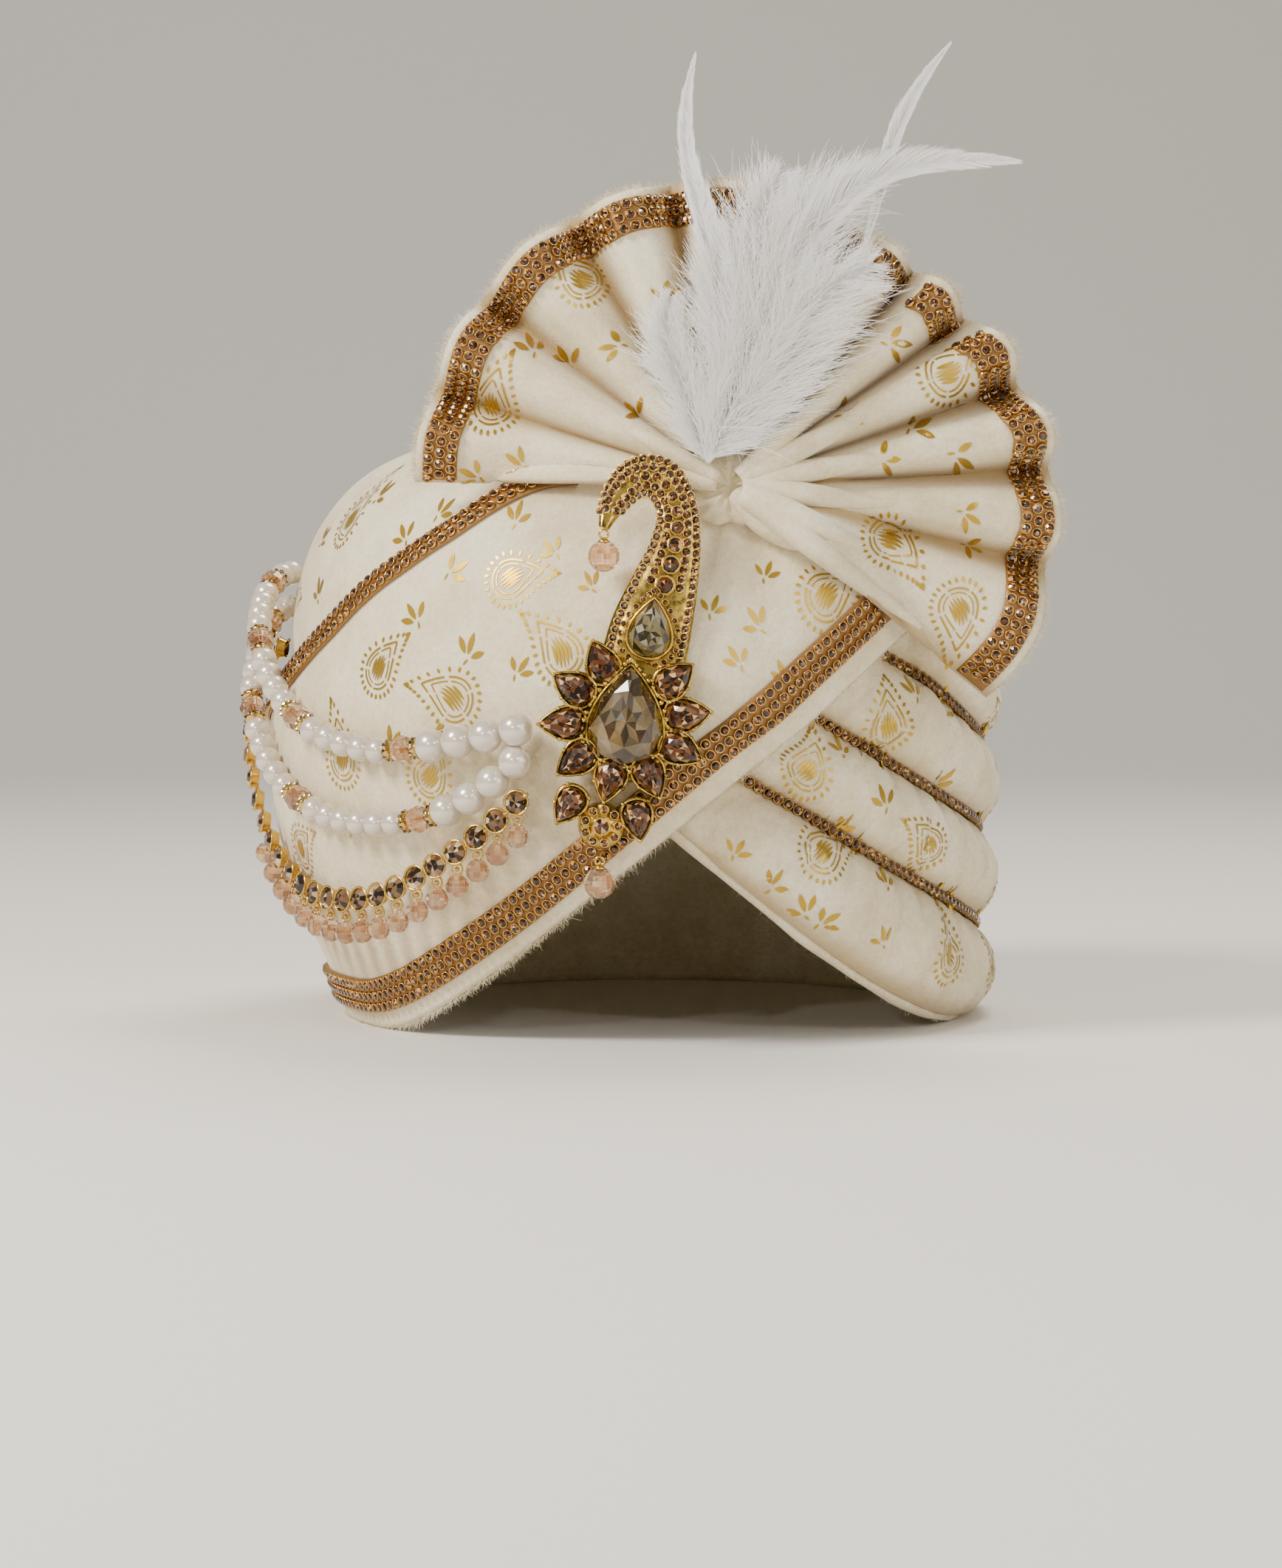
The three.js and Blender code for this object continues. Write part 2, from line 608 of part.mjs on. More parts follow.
function broochSetting() {
  const depth = BROOCH.plate + BROOCH.cup;
  const plate = new THREE.CylinderGeometry(BROOCH.ring, BROOCH.ring, BROOCH.plate, 20);
  plate.translate(BROOCH.x, BROOCH.y - BROOCH.plate / 2, BROOCH.z);
  const cups = PETALS.map((petal) => set(pearCup(PETAL.length, PETAL.width, depth), petalPlace(petal), BROOCH.y));
  const middleCup = set(pearCup(MIDDLE_STONE.length, MIDDLE_STONE.width, depth), MIDDLE_STONE, BROOCH.y);
  const foot = new THREE.CylinderGeometry(FOOT.radius, FOOT.radius, depth, 12);
  foot.translate(FOOT.x, BROOCH.y - depth / 2, FOOT.z);
  return fuse([plate, middleCup, ...cups, foot, neck(), dropLoop(BEAK_LOOP), dropLoop(FOOT_LOOP)]);
}

// A small ring in the plane of the front view, for a drop to hang on.
function dropLoop({ x, y, z }) {
  return new THREE.TorusGeometry(DROP.link, DROP.wire, 5, 8).rotateX(Math.PI / 2).translate(x, y, z);
}

const stoneSeat = BROOCH.y - BROOCH.plate - BROOCH.cup - 0.3;

function middleStone() {
  return set(pearStone(MIDDLE_STONE.length - 1, MIDDLE_STONE.width - 1, 6), MIDDLE_STONE, stoneSeat);
}

function petalStone(petal) {
  return set(pearStone(PETAL.length - 0.8, PETAL.width - 0.8, BROOCH.stone), petalPlace(petal), stoneSeat);
}

function neckStone() {
  const foremost = neckFront(NECK_STONE.x, NECK_STONE.z - NECK_STONE.width / 2);
  const seat = foremost - BROOCH.neckThick - 0.4;
  return set(pearStone(NECK_STONE.length, NECK_STONE.width, 3.6), NECK_STONE, seat);
}

// A bead under a ring that hangs through its loop, with a stem between them.
function drop(loop, fall) {
  const down = 2 * DROP.link - 2 * DROP.wire - DROP.play;
  const ring = new THREE.TorusGeometry(DROP.link, DROP.wire, 5, 8).rotateY(Math.PI / 2).translate(0, 0, -down);
  const stemTop = -down - DROP.link + DROP.wire / 2;
  const stemFoot = DROP.radius - fall - 0.5;
  const stem = new THREE.CylinderGeometry(DROP.wire, DROP.wire, stemTop - stemFoot, 6);
  stem.rotateX(Math.PI / 2).translate(0, 0, (stemTop + stemFoot) / 2);
  const bead = new THREE.SphereGeometry(DROP.radius, DROP.sides, 6).translate(0, 0, -fall);
  return fuse([bead, stem, ring]).translate(loop.x, loop.y, loop.z);
}

// A string of beads as one body: each bead swells from the thread and closes to it again.
const routeCurve = (rows) =>
  new THREE.CatmullRomCurve3(rows.map(({ angle, height, lift }) => onCrown(angle, height, lift)));

const ROUND = [
  { share: 0.02, swell: PEARL.neck },
  { share: 0.3, swell: 0.96 },
  { share: 0.7, swell: 0.96 },
];
const CAP = [
  { share: 0.1, swell: 1 },
  { share: 0.9, swell: 1 },
];
const cap = { length: PEARL.cap, radius: 3.1, profile: CAP };
const BEADS = {
  P: [{ length: PEARL.large, radius: PEARL.large / 2, profile: ROUND }],
  p: [{ length: PEARL.small, radius: PEARL.small / 2, profile: ROUND }],
  c: [cap, { length: PEARL.crystal, radius: PEARL.crystal / 2, profile: ROUND }, cap],
};

function tubeRing(curve, along, radius, sides) {
  const middle = curve.getPointAt(along);
  const way = curve.getTangentAt(along);
  const aside = new THREE.Vector3(0, 0, 1).cross(way).normalize();
  const over = way.clone().cross(aside);
  return spread(0, 360, sides)
    .slice(0, -1)
    .map((turn) =>
      middle
        .clone()
        .addScaledVector(aside, radius * Math.cos(degToRad(turn)))
        .addScaledVector(over, radius * Math.sin(degToRad(turn))),
    );
}

function beadString(rows, pattern) {
  const curve = routeCurve(rows);
  const beads = [...pattern].flatMap((letter) => BEADS[letter]);
  const scale = 1 / beads.reduce((sum, bead) => sum + bead.length, 0);
  const rings = [];
  let passed = 0;
  for (const { length, radius, profile } of beads) {
    for (const { share, swell } of profile) {
      rings.push(tubeRing(curve, (passed + share * length) * scale, radius * swell, PEARL.sides));
    }
    passed += length;
  }
  rings.push(tubeRing(curve, 1, PEARL.small * PEARL.neck * 0.5, PEARL.sides));
  return skin(rings);
}

// The fringe: a chain of round stone cups, each with a bead hung below it until the chain climbs.
function fringe() {
  const curve = routeCurve(FRINGE_ROUTE);
  const count = Math.floor(curve.getLength() / FRINGE.cupPitch);
  const rings = [];
  const hung = [];
  for (let i = 0; i < count; i++) {
    for (const { share, swell } of FRINGE_CUP) {
      rings.push(tubeRing(curve, (i + share) / count, (FRINGE.cup / 2) * swell, FRINGE.cupSides));
    }
    const middle = curve.getPointAt((i + 0.5) / count);
    const bead = new THREE.SphereGeometry(FRINGE.bead / 2, 10, 4);
    bead.translate(middle.x, middle.y, middle.z - FRINGE.hang);
    const link = new THREE.CylinderGeometry(FRINGE.wire / 2, FRINGE.wire / 2, FRINGE.hang, 5, 1);
    link.rotateX(Math.PI / 2).translate(middle.x, middle.y, middle.z - FRINGE.hang / 2);
    if (i < count - FRINGE.bare) hung.push(bead, link);
  }
  return fuse([skin(rings), ...hung]);
}

// Plain bar stitched to the crown, where the strings end out of sight.
function stringAnchor() {
  const bar = new THREE.BoxGeometry(ANCHOR.width, ANCHOR.thick, ANCHOR.length);
  const seat = onCrown(ANCHOR.angle, ANCHOR.height, 0);
  const up = onCrown(ANCHOR.angle, ANCHOR.height + 8, 0).sub(onCrown(ANCHOR.angle, ANCHOR.height - 8, 0)).normalize();
  const along = onCrown(ANCHOR.angle + 2, ANCHOR.height, 0).sub(seat).normalize();
  const inward = up.clone().cross(along).normalize();
  bar.applyMatrix4(new THREE.Matrix4().makeBasis(along, inward, up));
  const middle = seat.addScaledVector(inward, -ANCHOR.lift - ANCHOR.thick / 2);
  return bar.translate(middle.x, middle.y, middle.z);
}

// Finishes
const finish = (color, roughness, metalness = 0) => new THREE.MeshStandardMaterial({ color, roughness, metalness });
const velvet = finish(0xece4d3, 0.9);
const goldTape = finish(0xa9743f, 0.45, 0.6);
const feather = finish(0xf4f1ee, 0.8);
const gold = finish(0xc9a13c, 0.3, 1);
const topaz = finish(0x6b3f1d, 0.1);
const champagne = finish(0xd9c48c, 0.05);
const pearl = finish(0xf1ece4, 0.25);
const blush = finish(0xe0a683, 0.1);

const turban = new THREE.Group();

function add(name, geometry, material) {
  const mesh = new THREE.Mesh(geometry, material);
  mesh.name = name;
  turban.add(mesh);
}

add("crown", crown(), velvet);
add("wrap", wrap(), velvet);
add("hem_tape", hemTape(), goldTape);
add("crown_tape", topTape(), goldTape);
for (let number = 0; number < 4; number++) add(`roll_${number + 1}`, roll(number), velvet);
for (let number = 1; number < 4; number++) add(`groove_chain_${number}`, grooveChain(number), goldTape);
add("fan", fan(), velvet);
add("fan_tape", fanTape(), goldTape);
add("fan_gather", gather(), velvet);
add("plume", plume(), feather);
add("brooch_setting", broochSetting(), gold);
add("middle_stone", middleStone(), champagne);
add("neck_stone", neckStone(), champagne);
PETALS.forEach((petal, i) => add(`petal_stone_${i + 1}`, petalStone(petal), topaz));
add("beak_drop", drop(BEAK_LOOP, 6.4), blush);
add("foot_drop", drop(FOOT_LOOP, 8.4), blush);
add("upper_pearls", beadString(UPPER_STRING, UPPER_BEADS), pearl);
add("lower_pearls", beadString(LOWER_STRING, LOWER_BEADS), pearl);
add("crystal_fringe", fringe(), blush);
add("string_anchor", stringAnchor(), gold);

export default turban;
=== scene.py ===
"""Looks of the tied turban pagri, in the frame of its CAD solids."""

import math

import bmesh
import bpy
import numpy as np
from mathutils import Matrix, Vector
from mathutils.bvhtree import BVHTree


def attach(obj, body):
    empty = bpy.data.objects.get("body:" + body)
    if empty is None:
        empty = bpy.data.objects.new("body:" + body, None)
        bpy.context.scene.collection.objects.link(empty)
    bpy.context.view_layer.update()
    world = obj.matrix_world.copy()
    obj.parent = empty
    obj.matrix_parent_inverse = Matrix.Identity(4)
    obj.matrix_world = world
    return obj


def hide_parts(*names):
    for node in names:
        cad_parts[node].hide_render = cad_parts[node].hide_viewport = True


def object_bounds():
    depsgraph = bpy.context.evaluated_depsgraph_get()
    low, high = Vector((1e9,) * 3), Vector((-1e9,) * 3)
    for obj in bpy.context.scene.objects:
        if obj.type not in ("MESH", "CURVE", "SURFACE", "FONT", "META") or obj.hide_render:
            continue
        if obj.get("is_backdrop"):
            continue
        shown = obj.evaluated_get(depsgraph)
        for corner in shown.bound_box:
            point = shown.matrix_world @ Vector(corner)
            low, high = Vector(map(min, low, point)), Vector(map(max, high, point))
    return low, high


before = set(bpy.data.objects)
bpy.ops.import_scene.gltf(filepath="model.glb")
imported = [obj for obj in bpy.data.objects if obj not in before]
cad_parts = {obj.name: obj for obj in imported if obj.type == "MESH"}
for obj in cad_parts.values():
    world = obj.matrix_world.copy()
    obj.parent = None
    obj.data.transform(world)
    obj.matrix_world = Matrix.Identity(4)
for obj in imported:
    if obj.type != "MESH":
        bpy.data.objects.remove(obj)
cad_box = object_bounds()

MM = 0.001
SWELL_SCALE, SWELL_FRAMES = 0.01, 20
STEPS_BETWEEN = 48
UP, RIGHT, FRONT = (0, 0, 1.0), (1.0, 0, 0), (0, -1.0, 0)
TILTED_FRONT = np.array((0, -1.0, 0.15))
FACET_ORDER = Vector((1.0, 7.3, 61.0))
rng = np.random.default_rng(11)

# Crown, in millimetres: heights, exponents of its curves, half sizes at the rim and at its fullest.
SHOULDER, TOP = 90, 172
FULLNESS, SWELL = 3.2, 1.3
RIM_HALF, FULL_HALF = (87, 102), (98, 108)
RIM_SHIFT, FULL_SHIFT = 1, -8.5
BROW, RIM_SETBACK = 7, 4.5
CLOTH, CROWN_CLOTH, FAN_CLOTH, TAPE_THICK = 3, 2.6, 1.6, 0.6
MM_PER_DEGREE = 1.9
CROWN_COLUMNS, CROWN_ROWS, CROWN_WALL_SHARE = 240, 110, 0.45

# Wrap: angle round the crown, height of its hem, height of its upper edge.
WRAP_EDGES = [
    (-187.4, 0, 90),
    (-120, 0, 90),
    (-90, 0, 95),
    (-70, 0, 104),
    (-55, 1, 117),
    (-40, 9, 134),
    (-20, 27, 152),
    (0, 51, 153),
    (20, 79, 153),
    (40, 104.5, 150),
    (57, 121, 143),
]
WRAP_FROM, WRAP_TO = WRAP_EDGES[0][0], WRAP_EDGES[-1][0]
WRAP_SEAT, WRAP_TUCK, WRAP_PUFF = 1.2, 8, 4.4
WRAP_COLUMNS, WRAP_ROWS = 270, 40
HELD_HEM, HELD_TOP = 17, 10

# Seams of the four rolls: angle, then the height of each seam from the brow up.
SEAMS = [
    (0, 71, 94, 124, 151, 168),
    (15, 47.5, 78.5, 108, 137, 159),
    (30, 27, 62.5, 92.5, 122, 146),
    (45, 12.5, 48.5, 77.5, 107.5, 131),
    (60, 4, 38, 66.5, 95, 117),
    (75, 1, 30.5, 59, 85.5, 107),
    (90, 0, 26, 54, 80, 101),
    (120, 0, 24.5, 51, 76, 95),
    (174, 0, 23, 48, 71, 90),
]
ROLL_HEIGHT, ROLL_TUCKED, ROLL_SIDE, ROLL_SEAT = 11.5, 5.6, 1.6, 0.9
ROLL_UNDER, ROLL_END = 5, 172
ROLLS, ROLL_COLUMNS = 4, 160
ROLL_SHARES = 0.5 - 0.485 * np.cos(np.linspace(0, np.pi, 23))
ROLL_BACK = slice(18, 3, -5)
PIPING_FROM, PIPING_TO, PIPING_RADIUS, PIPING_SEAT = 6, 84, 1.9, 2.6

# Fan pleats: bearing of the ridge, bearing of the fold, rise, reach.
PLEATS = [
    (171, 162, 5, 87),
    (151, 143, 7, 87),
    (131, 121, 7, 87),
    (111, 101, 6, 86),
    (91, 81, 6, 84),
    (71, 62, 6, 81),
    (55, 49, 7, 80),
    (42, 35, 8, 82),
    (27, 19, 8, 87),
    (10, 3, 7, 91),
    (-7, -14, 6, 93),
    (-25, -39, 5, 95),
]
FAN_X, FAN_Y, FAN_Z = 21, -101, 155
FAN_HUB, FAN_LEAN = 15, 0.2
FAN_FROM, FAN_TO = 179, PLEATS[-1][1]
FAN_COLUMNS, FAN_ROWS = 420, 46

# Folds that run out of the knot: bearing, length, thickness, curl.
FOLD_LOBES = [
    (42, 44, 2.8, 0),
    (27, 50, 3.2, 0),
    (10, 52, 3.2, 0),
    (-7, 48, 3.2, 0),
    (-25, 46, 3.6, 0),
    (-36.5, 66, 3.4, 0),
    (-50, 28, 3.8, 12),
    (171, 34, 2.8, 0),
    (151, 38, 2.4, 0),
]
KNOT_RADIUS, KNOT_DOME, KNOT_PINCH = 11.5, 5.2, 1.6

# Tapes and chains of stones.
HEM_TAPE_WIDTH, CROWN_TAPE_WIDTH, FAN_TAPE_WIDTH, FAN_TAPE_INSET = 9.5, 6.5, 9.5, 11.5
HEM_TAPE_TO, CROWN_TAPE_TO = 41.2, -8
TAPE_OUT, FAN_TAPE_OUT = 0.9, 1.7
STONE_PITCH, CHAIN_PITCH, CHAIN_STONE, CHAIN_END = 3.25, 3.2, 1.05, 168
THREE_ROWS, TWO_ROWS = (0.16, 0.5, 0.84), (0.26, 0.74)

# Plume feathers from their root: tip x, tip y, tip z, bow, half width, bare share of the shaft.
PLUME_ROOT = np.array((15, -111, 161.0))
HACKLES = [
    (-3, 18, 114, 1, 5, 0.16),
    (68, 20, 117, 6, 5.5, 0.5),
    (88, 16, 83, -28, 8.5, 0.25),
]
DOWN = [
    (44, 14, 80, -7, 11, 0.02),
    (20, 14, 80, 2, 11, 0.02),
    (6, 11, 64, 3, 9, 0.02),
    (46, 7, 55, -4, 10, 0.02),
    (-10, 7, 46, -3, 6, 0.02),
]

# Brooch, and its petals by bearing, reach, length and width.
BROOCH_X, BROOCH_Y, BROOCH_Z, PLATE_RADIUS = -7.5, -125.2, 91, 17
PETALS = [
    (112, 15.6, 13.6, 10.2),
    (147, 15.2, 13.8, 10.4),
    (182, 15.2, 14.2, 10.4),
    (218, 15.2, 13.8, 10.2),
    (255, 15, 13.4, 10),
    (294, 15, 13.4, 10),
    (333, 15.2, 13.8, 10.2),
    (6, 15.2, 14, 10.4),
    (40, 15.8, 13.6, 10.2),
    (236, 26, 12.6, 9.4),
    (277, 25.4, 12.6, 9.4),
]

# Its two large stones by x, z, length, width and tilt, and its foot by x, z and radius.
MIDDLE_STONE = (-7.5, 89, 29, 22, -5)
NECK_STONE = (-1, 114, 16, 11.8, -8)
FOOT_X, FOOT_Z, FOOT_RADIUS = -14, 62.5, 6.5
STONE_SEAT, PLATE_DEPTH, FOOT_DEPTH, CUP_DEPTH, MIDDLE_CUP_DEPTH = -129.5, 2.4, 4, 5.2, 5.4

# Its neck by x, z, half width and how far it stands off the cloth.
NECK = [
    (-3, 106, 11.5, 0),
    (-0.5, 116, 11, 0),
    (3, 127, 9.2, 0),
    (6, 138, 7, 1.5),
    (6.5, 148, 5.6, 3.5),
    (2.5, 156, 5.9, 4.5),
    (-4, 157, 5.4, 4.5),
    (-9, 152.5, 4.2, 4.5),
    (-12, 147, 2.7, 4.5),
    (-13.4, 143, 1.5, 4.5),
]
NECK_LIFT, NECK_RINGS, NECK_FACE, NECK_BACK = 14.5, 70, 13, 7
NECK_THICK, NECK_DOME = 1.6, 1.6

# Small stones of the neck: its rows by side, size, start and end, its middle ones by place and size.
PAVE_ROWS = [
    (-0.85, 0.84, 0.2, 8.5),
    (0.85, 0.84, 0.2, 8.5),
    (-0.46, 0.92, 2.0, 8.3),
    (0.46, 0.92, 2.0, 8.3),
]
PAVE_PITCH = 2.75
PAVE_MIDDLE = [
    (2.05, 1.9), (2.55, 1.8), (3.05, 1.6), (3.5, 1.4), (3.95, 1.2),
    (4.4, 1.1), (4.8, 1.0), (5.25, 1.0), (5.7, 1.0), (6.2, 1.0),
]
BEAK_DROP, FOOT_DROP, DROP_RADIUS = (-13.4, -121.8, 135.5), (-14.5, -127.2, 46.9), 4.4

# Strings: angle round the crown, height, lift off the wall.
UPPER_STRING = [
    (-12, 89.5, 20.5),
    (-19, 86.5, 18),
    (-29, 83, 14.5),
    (-39, 81.5, 12.6),
    (-48, 84, 12),
    (-57, 89.5, 12),
    (-66, 98, 12),
    (-76, 109, 11),
    (-88, 119.5, 9),
    (-97, 125, 7.6),
    (-104, 127, 6.2),
]
LOWER_STRING = [
    (-12.8, 82.5, 20),
    (-20, 71.5, 17),
    (-29, 64, 14),
    (-39, 61, 12.8),
    (-50, 62, 12.4),
    (-61, 68, 12.2),
    (-71, 79, 12),
    (-80, 93, 12),
    (-89, 106, 9.6),
    (-97, 114.5, 7.4),
    (-104, 118, 5.8),
]
FRINGE_ROUTE = [
    (-13, 71, 20),
    (-21, 59.5, 15.5),
    (-31, 49, 13),
    (-42, 41, 12.2),
    (-54, 38, 11.8),
    (-65, 41, 11.8),
    (-76, 52, 12),
    (-84, 67, 12.2),
    (-91, 84, 12.2),
    (-97, 97, 10),
    (-104, 108, 6),
]
UPPER_BEADS = "PPPPcpppppcppppcppppcpp"
LOWER_BEADS = "PPPPcppppppcpppppcppppcpp"
CAPPED_CRYSTAL = ["cap", "crystal", "cap"]
BEAD_LENGTHS = {"P": 7.6, "p": 6.0, "cap": 1.6, "crystal": 6.4}
BEAD_WORDS = {"P": "large pearls", "p": "small pearls", "cap": "rondelles", "crystal": "crystals"}
FRINGE_PITCH, FRINGE_HANG, FRINGE_BARE = 8.6, 8.6, 8

# Foil motifs: angle and height on the wrap, crown and rolls, bearing and radius on the fan.
WRAP_PAISLEYS = [
    (-40, 102.5), (-25.5, 95.5), (-17.5, 126), (-48, 78), (-30.5, 74), (-8.5, 106.5), (29.5, 118.5),
]
WRAP_SPRIGS = [
    (-22, 118.5), (-27, 129), (-11, 134), (-5, 124.5), (-15, 103.5), (-33.5, 117),
    (-37.5, 84.5), (16, 105), (23, 101.5), (21.5, 126), (-17.5, 143), (-39, 111.5),
    (-23, 108), (-37, 62), (-48, 59), (13, 117.5), (19, 113.5), (27.5, 128.5),
]
CROWN_PAISLEYS = [(-62, 145)]
CROWN_SPRIGS = [(-42.5, 141.5), (-35.5, 148.5), (-66, 125), (-71, 140), (-55.5, 152.5)]
ROLL_PAISLEYS = [(43, 87), (28, 75.5), (51.5, 53.5), (29.5, 53.5), (56.5, 21.5)]
ROLL_SPRIGS = [
    (58, 72), (41, 68), (35, 83), (42.5, 45), (16, 54.5), (22, 45.5), (26, 38.5),
    (40, 29), (35.5, 60.5), (62.5, 38.5), (59.5, 91.5), (49, 97.5), (30, 35),
]
FAN_PAISLEYS = [(162, 69), (126, 69), (27, 67), (-19, 46), (-28, 72)]
FAN_SPRIGS = [
    (141, 57), (177, 71), (174, 59), (145, 67), (130, 50), (109, 56), (142, 33), (165, 61), (17, 55),
    (40, 60), (-26, 81), (10, 44), (7, 65), (-9, 40), (-10, 51), (-7, 67), (31, 39), (-14, 70),
]
PAISLEY_SIZE, SPRIG_SIZE, MOTIF_TILT = (18, 21.5), (7, 9.5), 55
PRINT_RADIUS, CLEAR_OF_PAISLEY = 110, 11.5
FOIL_OUT, FAN_FOIL_OUT = 0.22, 1.02
CROWN_RINGS = [(14, 3), (38, 8), (60, 12)]


def lerp(a, b, share):
    return a + (b - a) * share


def smoothstep(x, low, high):
    share = np.clip((np.asarray(x, float) - low) / (high - low), 0, 1)
    return share * share * (3 - 2 * share)


def column(rows, value):
    """A smooth curve through one column of a table, read by its first column."""
    table = np.array(sorted(rows), float)
    knots, values = table[:, 0], table[:, value]
    last = len(knots) - 1
    before = np.maximum(np.arange(last + 1) - 1, 0)
    after = np.minimum(np.arange(last + 1) + 1, last)
    slope = (values[after] - values[before]) / (knots[after] - knots[before])

    def read(x):
        x = np.asarray(x, float)
        i = np.clip(np.searchsorted(knots, x) - 1, 0, last - 1)
        span = knots[i + 1] - knots[i]
        t = np.clip((x - knots[i]) / span, 0, 1)
        rise = (3 - 2 * t) * t * t
        start = t * (1 - t) ** 2 * slope[i] * span
        finish = t * t * (1 - t) * slope[i + 1] * span
        return lerp(values[i], values[i + 1], rise) + start - finish

    return read


def unit(vectors):
    return vectors / np.maximum(np.linalg.norm(vectors, axis=-1, keepdims=True), 1e-9)


def crumple(u, v):
    """Soft uneven wrinkles, from -1 to 1, over a surface measured in millimetres."""
    waves = np.sin(u / 7 + 1.3 * np.sin(v / 9)) + np.sin(v / 6.1 + 1.7 * np.sin(u / 11 + 2))
    return (waves + 0.6 * np.sin((u + 1.3 * v) / 4.3)) / 2.6


# Surfaces of the cloth.
read_hem, wrap_top = column(WRAP_EDGES, 1), column(WRAP_EDGES, 2)
SEAM_READS = [column(SEAMS, i) for i in range(1, 6)]


def wrap_hem(angle):
    return np.maximum(0, read_hem(angle))


def seam(number, angle):
    return np.maximum(0, SEAM_READS[number](angle))


def crown_section(height, lift):
    swell = np.sin(np.pi / 2 * np.clip(height, 0, SHOULDER) / SHOULDER) ** SWELL
    rise = np.clip((height - SHOULDER) / (TOP + lift - SHOULDER), 0, 1)
    close = (1 - rise**FULLNESS) ** (1 / FULLNESS)
    half_width = (lerp(RIM_HALF[0], FULL_HALF[0], swell) + lift) * close
    half_depth = (lerp(RIM_HALF[1], FULL_HALF[1], swell) + lift) * close
    return half_width, half_depth, lerp(RIM_SHIFT, FULL_SHIFT, swell)


def on_crown(angle, height, lift):
    angle, height, lift = np.broadcast_arrays(*(np.asarray(v, float) for v in (angle, height, lift)))
    raised = height + np.maximum(0, height - SHOULDER) / (TOP - SHOULDER) * lift
    half_width, half_depth, shift = crown_section(raised, lift)
    turn = np.radians(angle)
    return np.stack([shift + half_width * np.sin(turn), -half_depth * np.cos(turn), raised], -1)


def front_of(x, z, lift):
    half_width, half_depth, shift = crown_section(np.clip(z, 0, TOP + lift - 1), lift)
    return -half_depth * np.sqrt(np.maximum(0, 1 - ((x - shift) / half_width) ** 2))


def crown_rim(angle):
    edge = np.where(angle > BROW, seam(0, angle), wrap_hem(angle))
    return edge + RIM_SETBACK * smoothstep(edge, 0.5, 8)


def across_wrap(angle, height):
    return np.clip((height - wrap_hem(angle)) / (wrap_top(angle) - wrap_hem(angle)), 0, 1)


def wrap_lift(angle, height):
    across = across_wrap(angle, height)
    over_rolls = smoothstep(angle, -25, 5) * (1 - smoothstep(across, 0.3, 0.9))
    return WRAP_SEAT + WRAP_TUCK * over_rolls + CLOTH + WRAP_PUFF * np.sin(np.pi * across) ** 0.8


def wrap_surface(angle, height, out=0.0):
    """The wrap's outer face, slack towards the middle, with drag lines up to the fan."""
    across = across_wrap(angle, height)
    slack = np.sin(np.pi * across)
    drag = 0.7 * np.sin((height + 0.55 * angle) / 5.2) * smoothstep(angle, -45, 10)
    wrinkle = 0.55 * crumple(angle * MM_PER_DEGREE, height)
    here = on_crown(angle, height, CLOTH)
    right, up = here[..., 0] - FAN_X, here[..., 2] - FAN_Z
    rays = 1.3 * np.sin(11 * np.arctan2(up, right) + 0.9)
    pull = rays * smoothstep(np.hypot(right, up), 58, 14) * (here[..., 1] < 0)
    lift = wrap_lift(angle, height) + slack * (drag + wrinkle) + slack**0.3 * pull
    return on_crown(angle, height, lift + out)


def hem_crossing(height_at):
    """Where a line round the crown meets the wrap's hem."""
    low, high = np.zeros_like(height_at(0.0)), np.full_like(height_at(0.0), 90.0)
    for _ in range(24):
        middle = (low + high) / 2
        over = height_at(middle) > wrap_hem(np.minimum(middle, WRAP_TO))
        low, high = np.where(over, middle, low), np.where(over, high, middle)
    return low


def roll_height(past, angle):
    swollen = lerp(ROLL_TUCKED, ROLL_HEIGHT, smoothstep(past, 1, 12))
    return swollen * lerp(1, 0.45, smoothstep(angle, 145, ROLL_END))


def roll_lift(share, past, angle, height):
    round_over = np.sqrt(np.maximum(0, 1 - (2 * share - 1) ** 2))
    padding = ROLL_SIDE + (roll_height(past, angle) - ROLL_SIDE) * round_over
    run = angle * MM_PER_DEGREE
    pucker = 0.5 * np.sin(run / 2.6 + 3 * np.sin(angle / 9)) * (1 - round_over)
    return ROLL_SEAT + padding + 0.5 * crumple(run, height) * round_over + pucker


def roll_surface(angle, height):
    """The rolls' outer face, whichever roll lies at that height."""
    heights = np.stack([seam(i, angle) for i in range(ROLLS + 1)])
    number = (heights[1:-1] <= height).sum(0)
    low = np.take_along_axis(heights, number[None], 0)[0]
    high = np.take_along_axis(heights, number[None] + 1, 0)[0]
    share = np.clip((height - low) / (high - low), 0.02, 0.98)
    return on_crown(angle, height, roll_lift(share, 20.0, angle, height))


def crown_surface(angle, height):
    turn = np.radians(angle)
    uneven = 0.3 * crumple(100 * np.sin(turn), height + 70 * np.cos(turn))
    return on_crown(angle, height, uneven * (1 - smoothstep(height, TOP - 9, TOP - 1)))


# Folds of the fan: bearing, wave, reach, rise.
FAN_FOLDS = [(FAN_FROM, -1, 87, 1)]
for ridge, fold, rise, reach in PLEATS:
    FAN_FOLDS += [(ridge, rise, reach, rise), (fold, -rise, reach - 1.5, rise)]
fold_wave, fan_reach, fold_rise = (column(FAN_FOLDS, i) for i in (1, 2, 3))


def pleat(bearing):
    """Broad round ridges with narrow creases between them."""
    down = np.clip((1 - fold_wave(bearing) / fold_rise(bearing)) / 2, 0, 1)
    return fold_rise(bearing) * (1 - 2 * down**2.3)


def layers_under_fan(x):
    return (CLOTH + WRAP_PUFF) * smoothstep(x, -60, -35) + 10.2 * smoothstep(x, 10, 50)


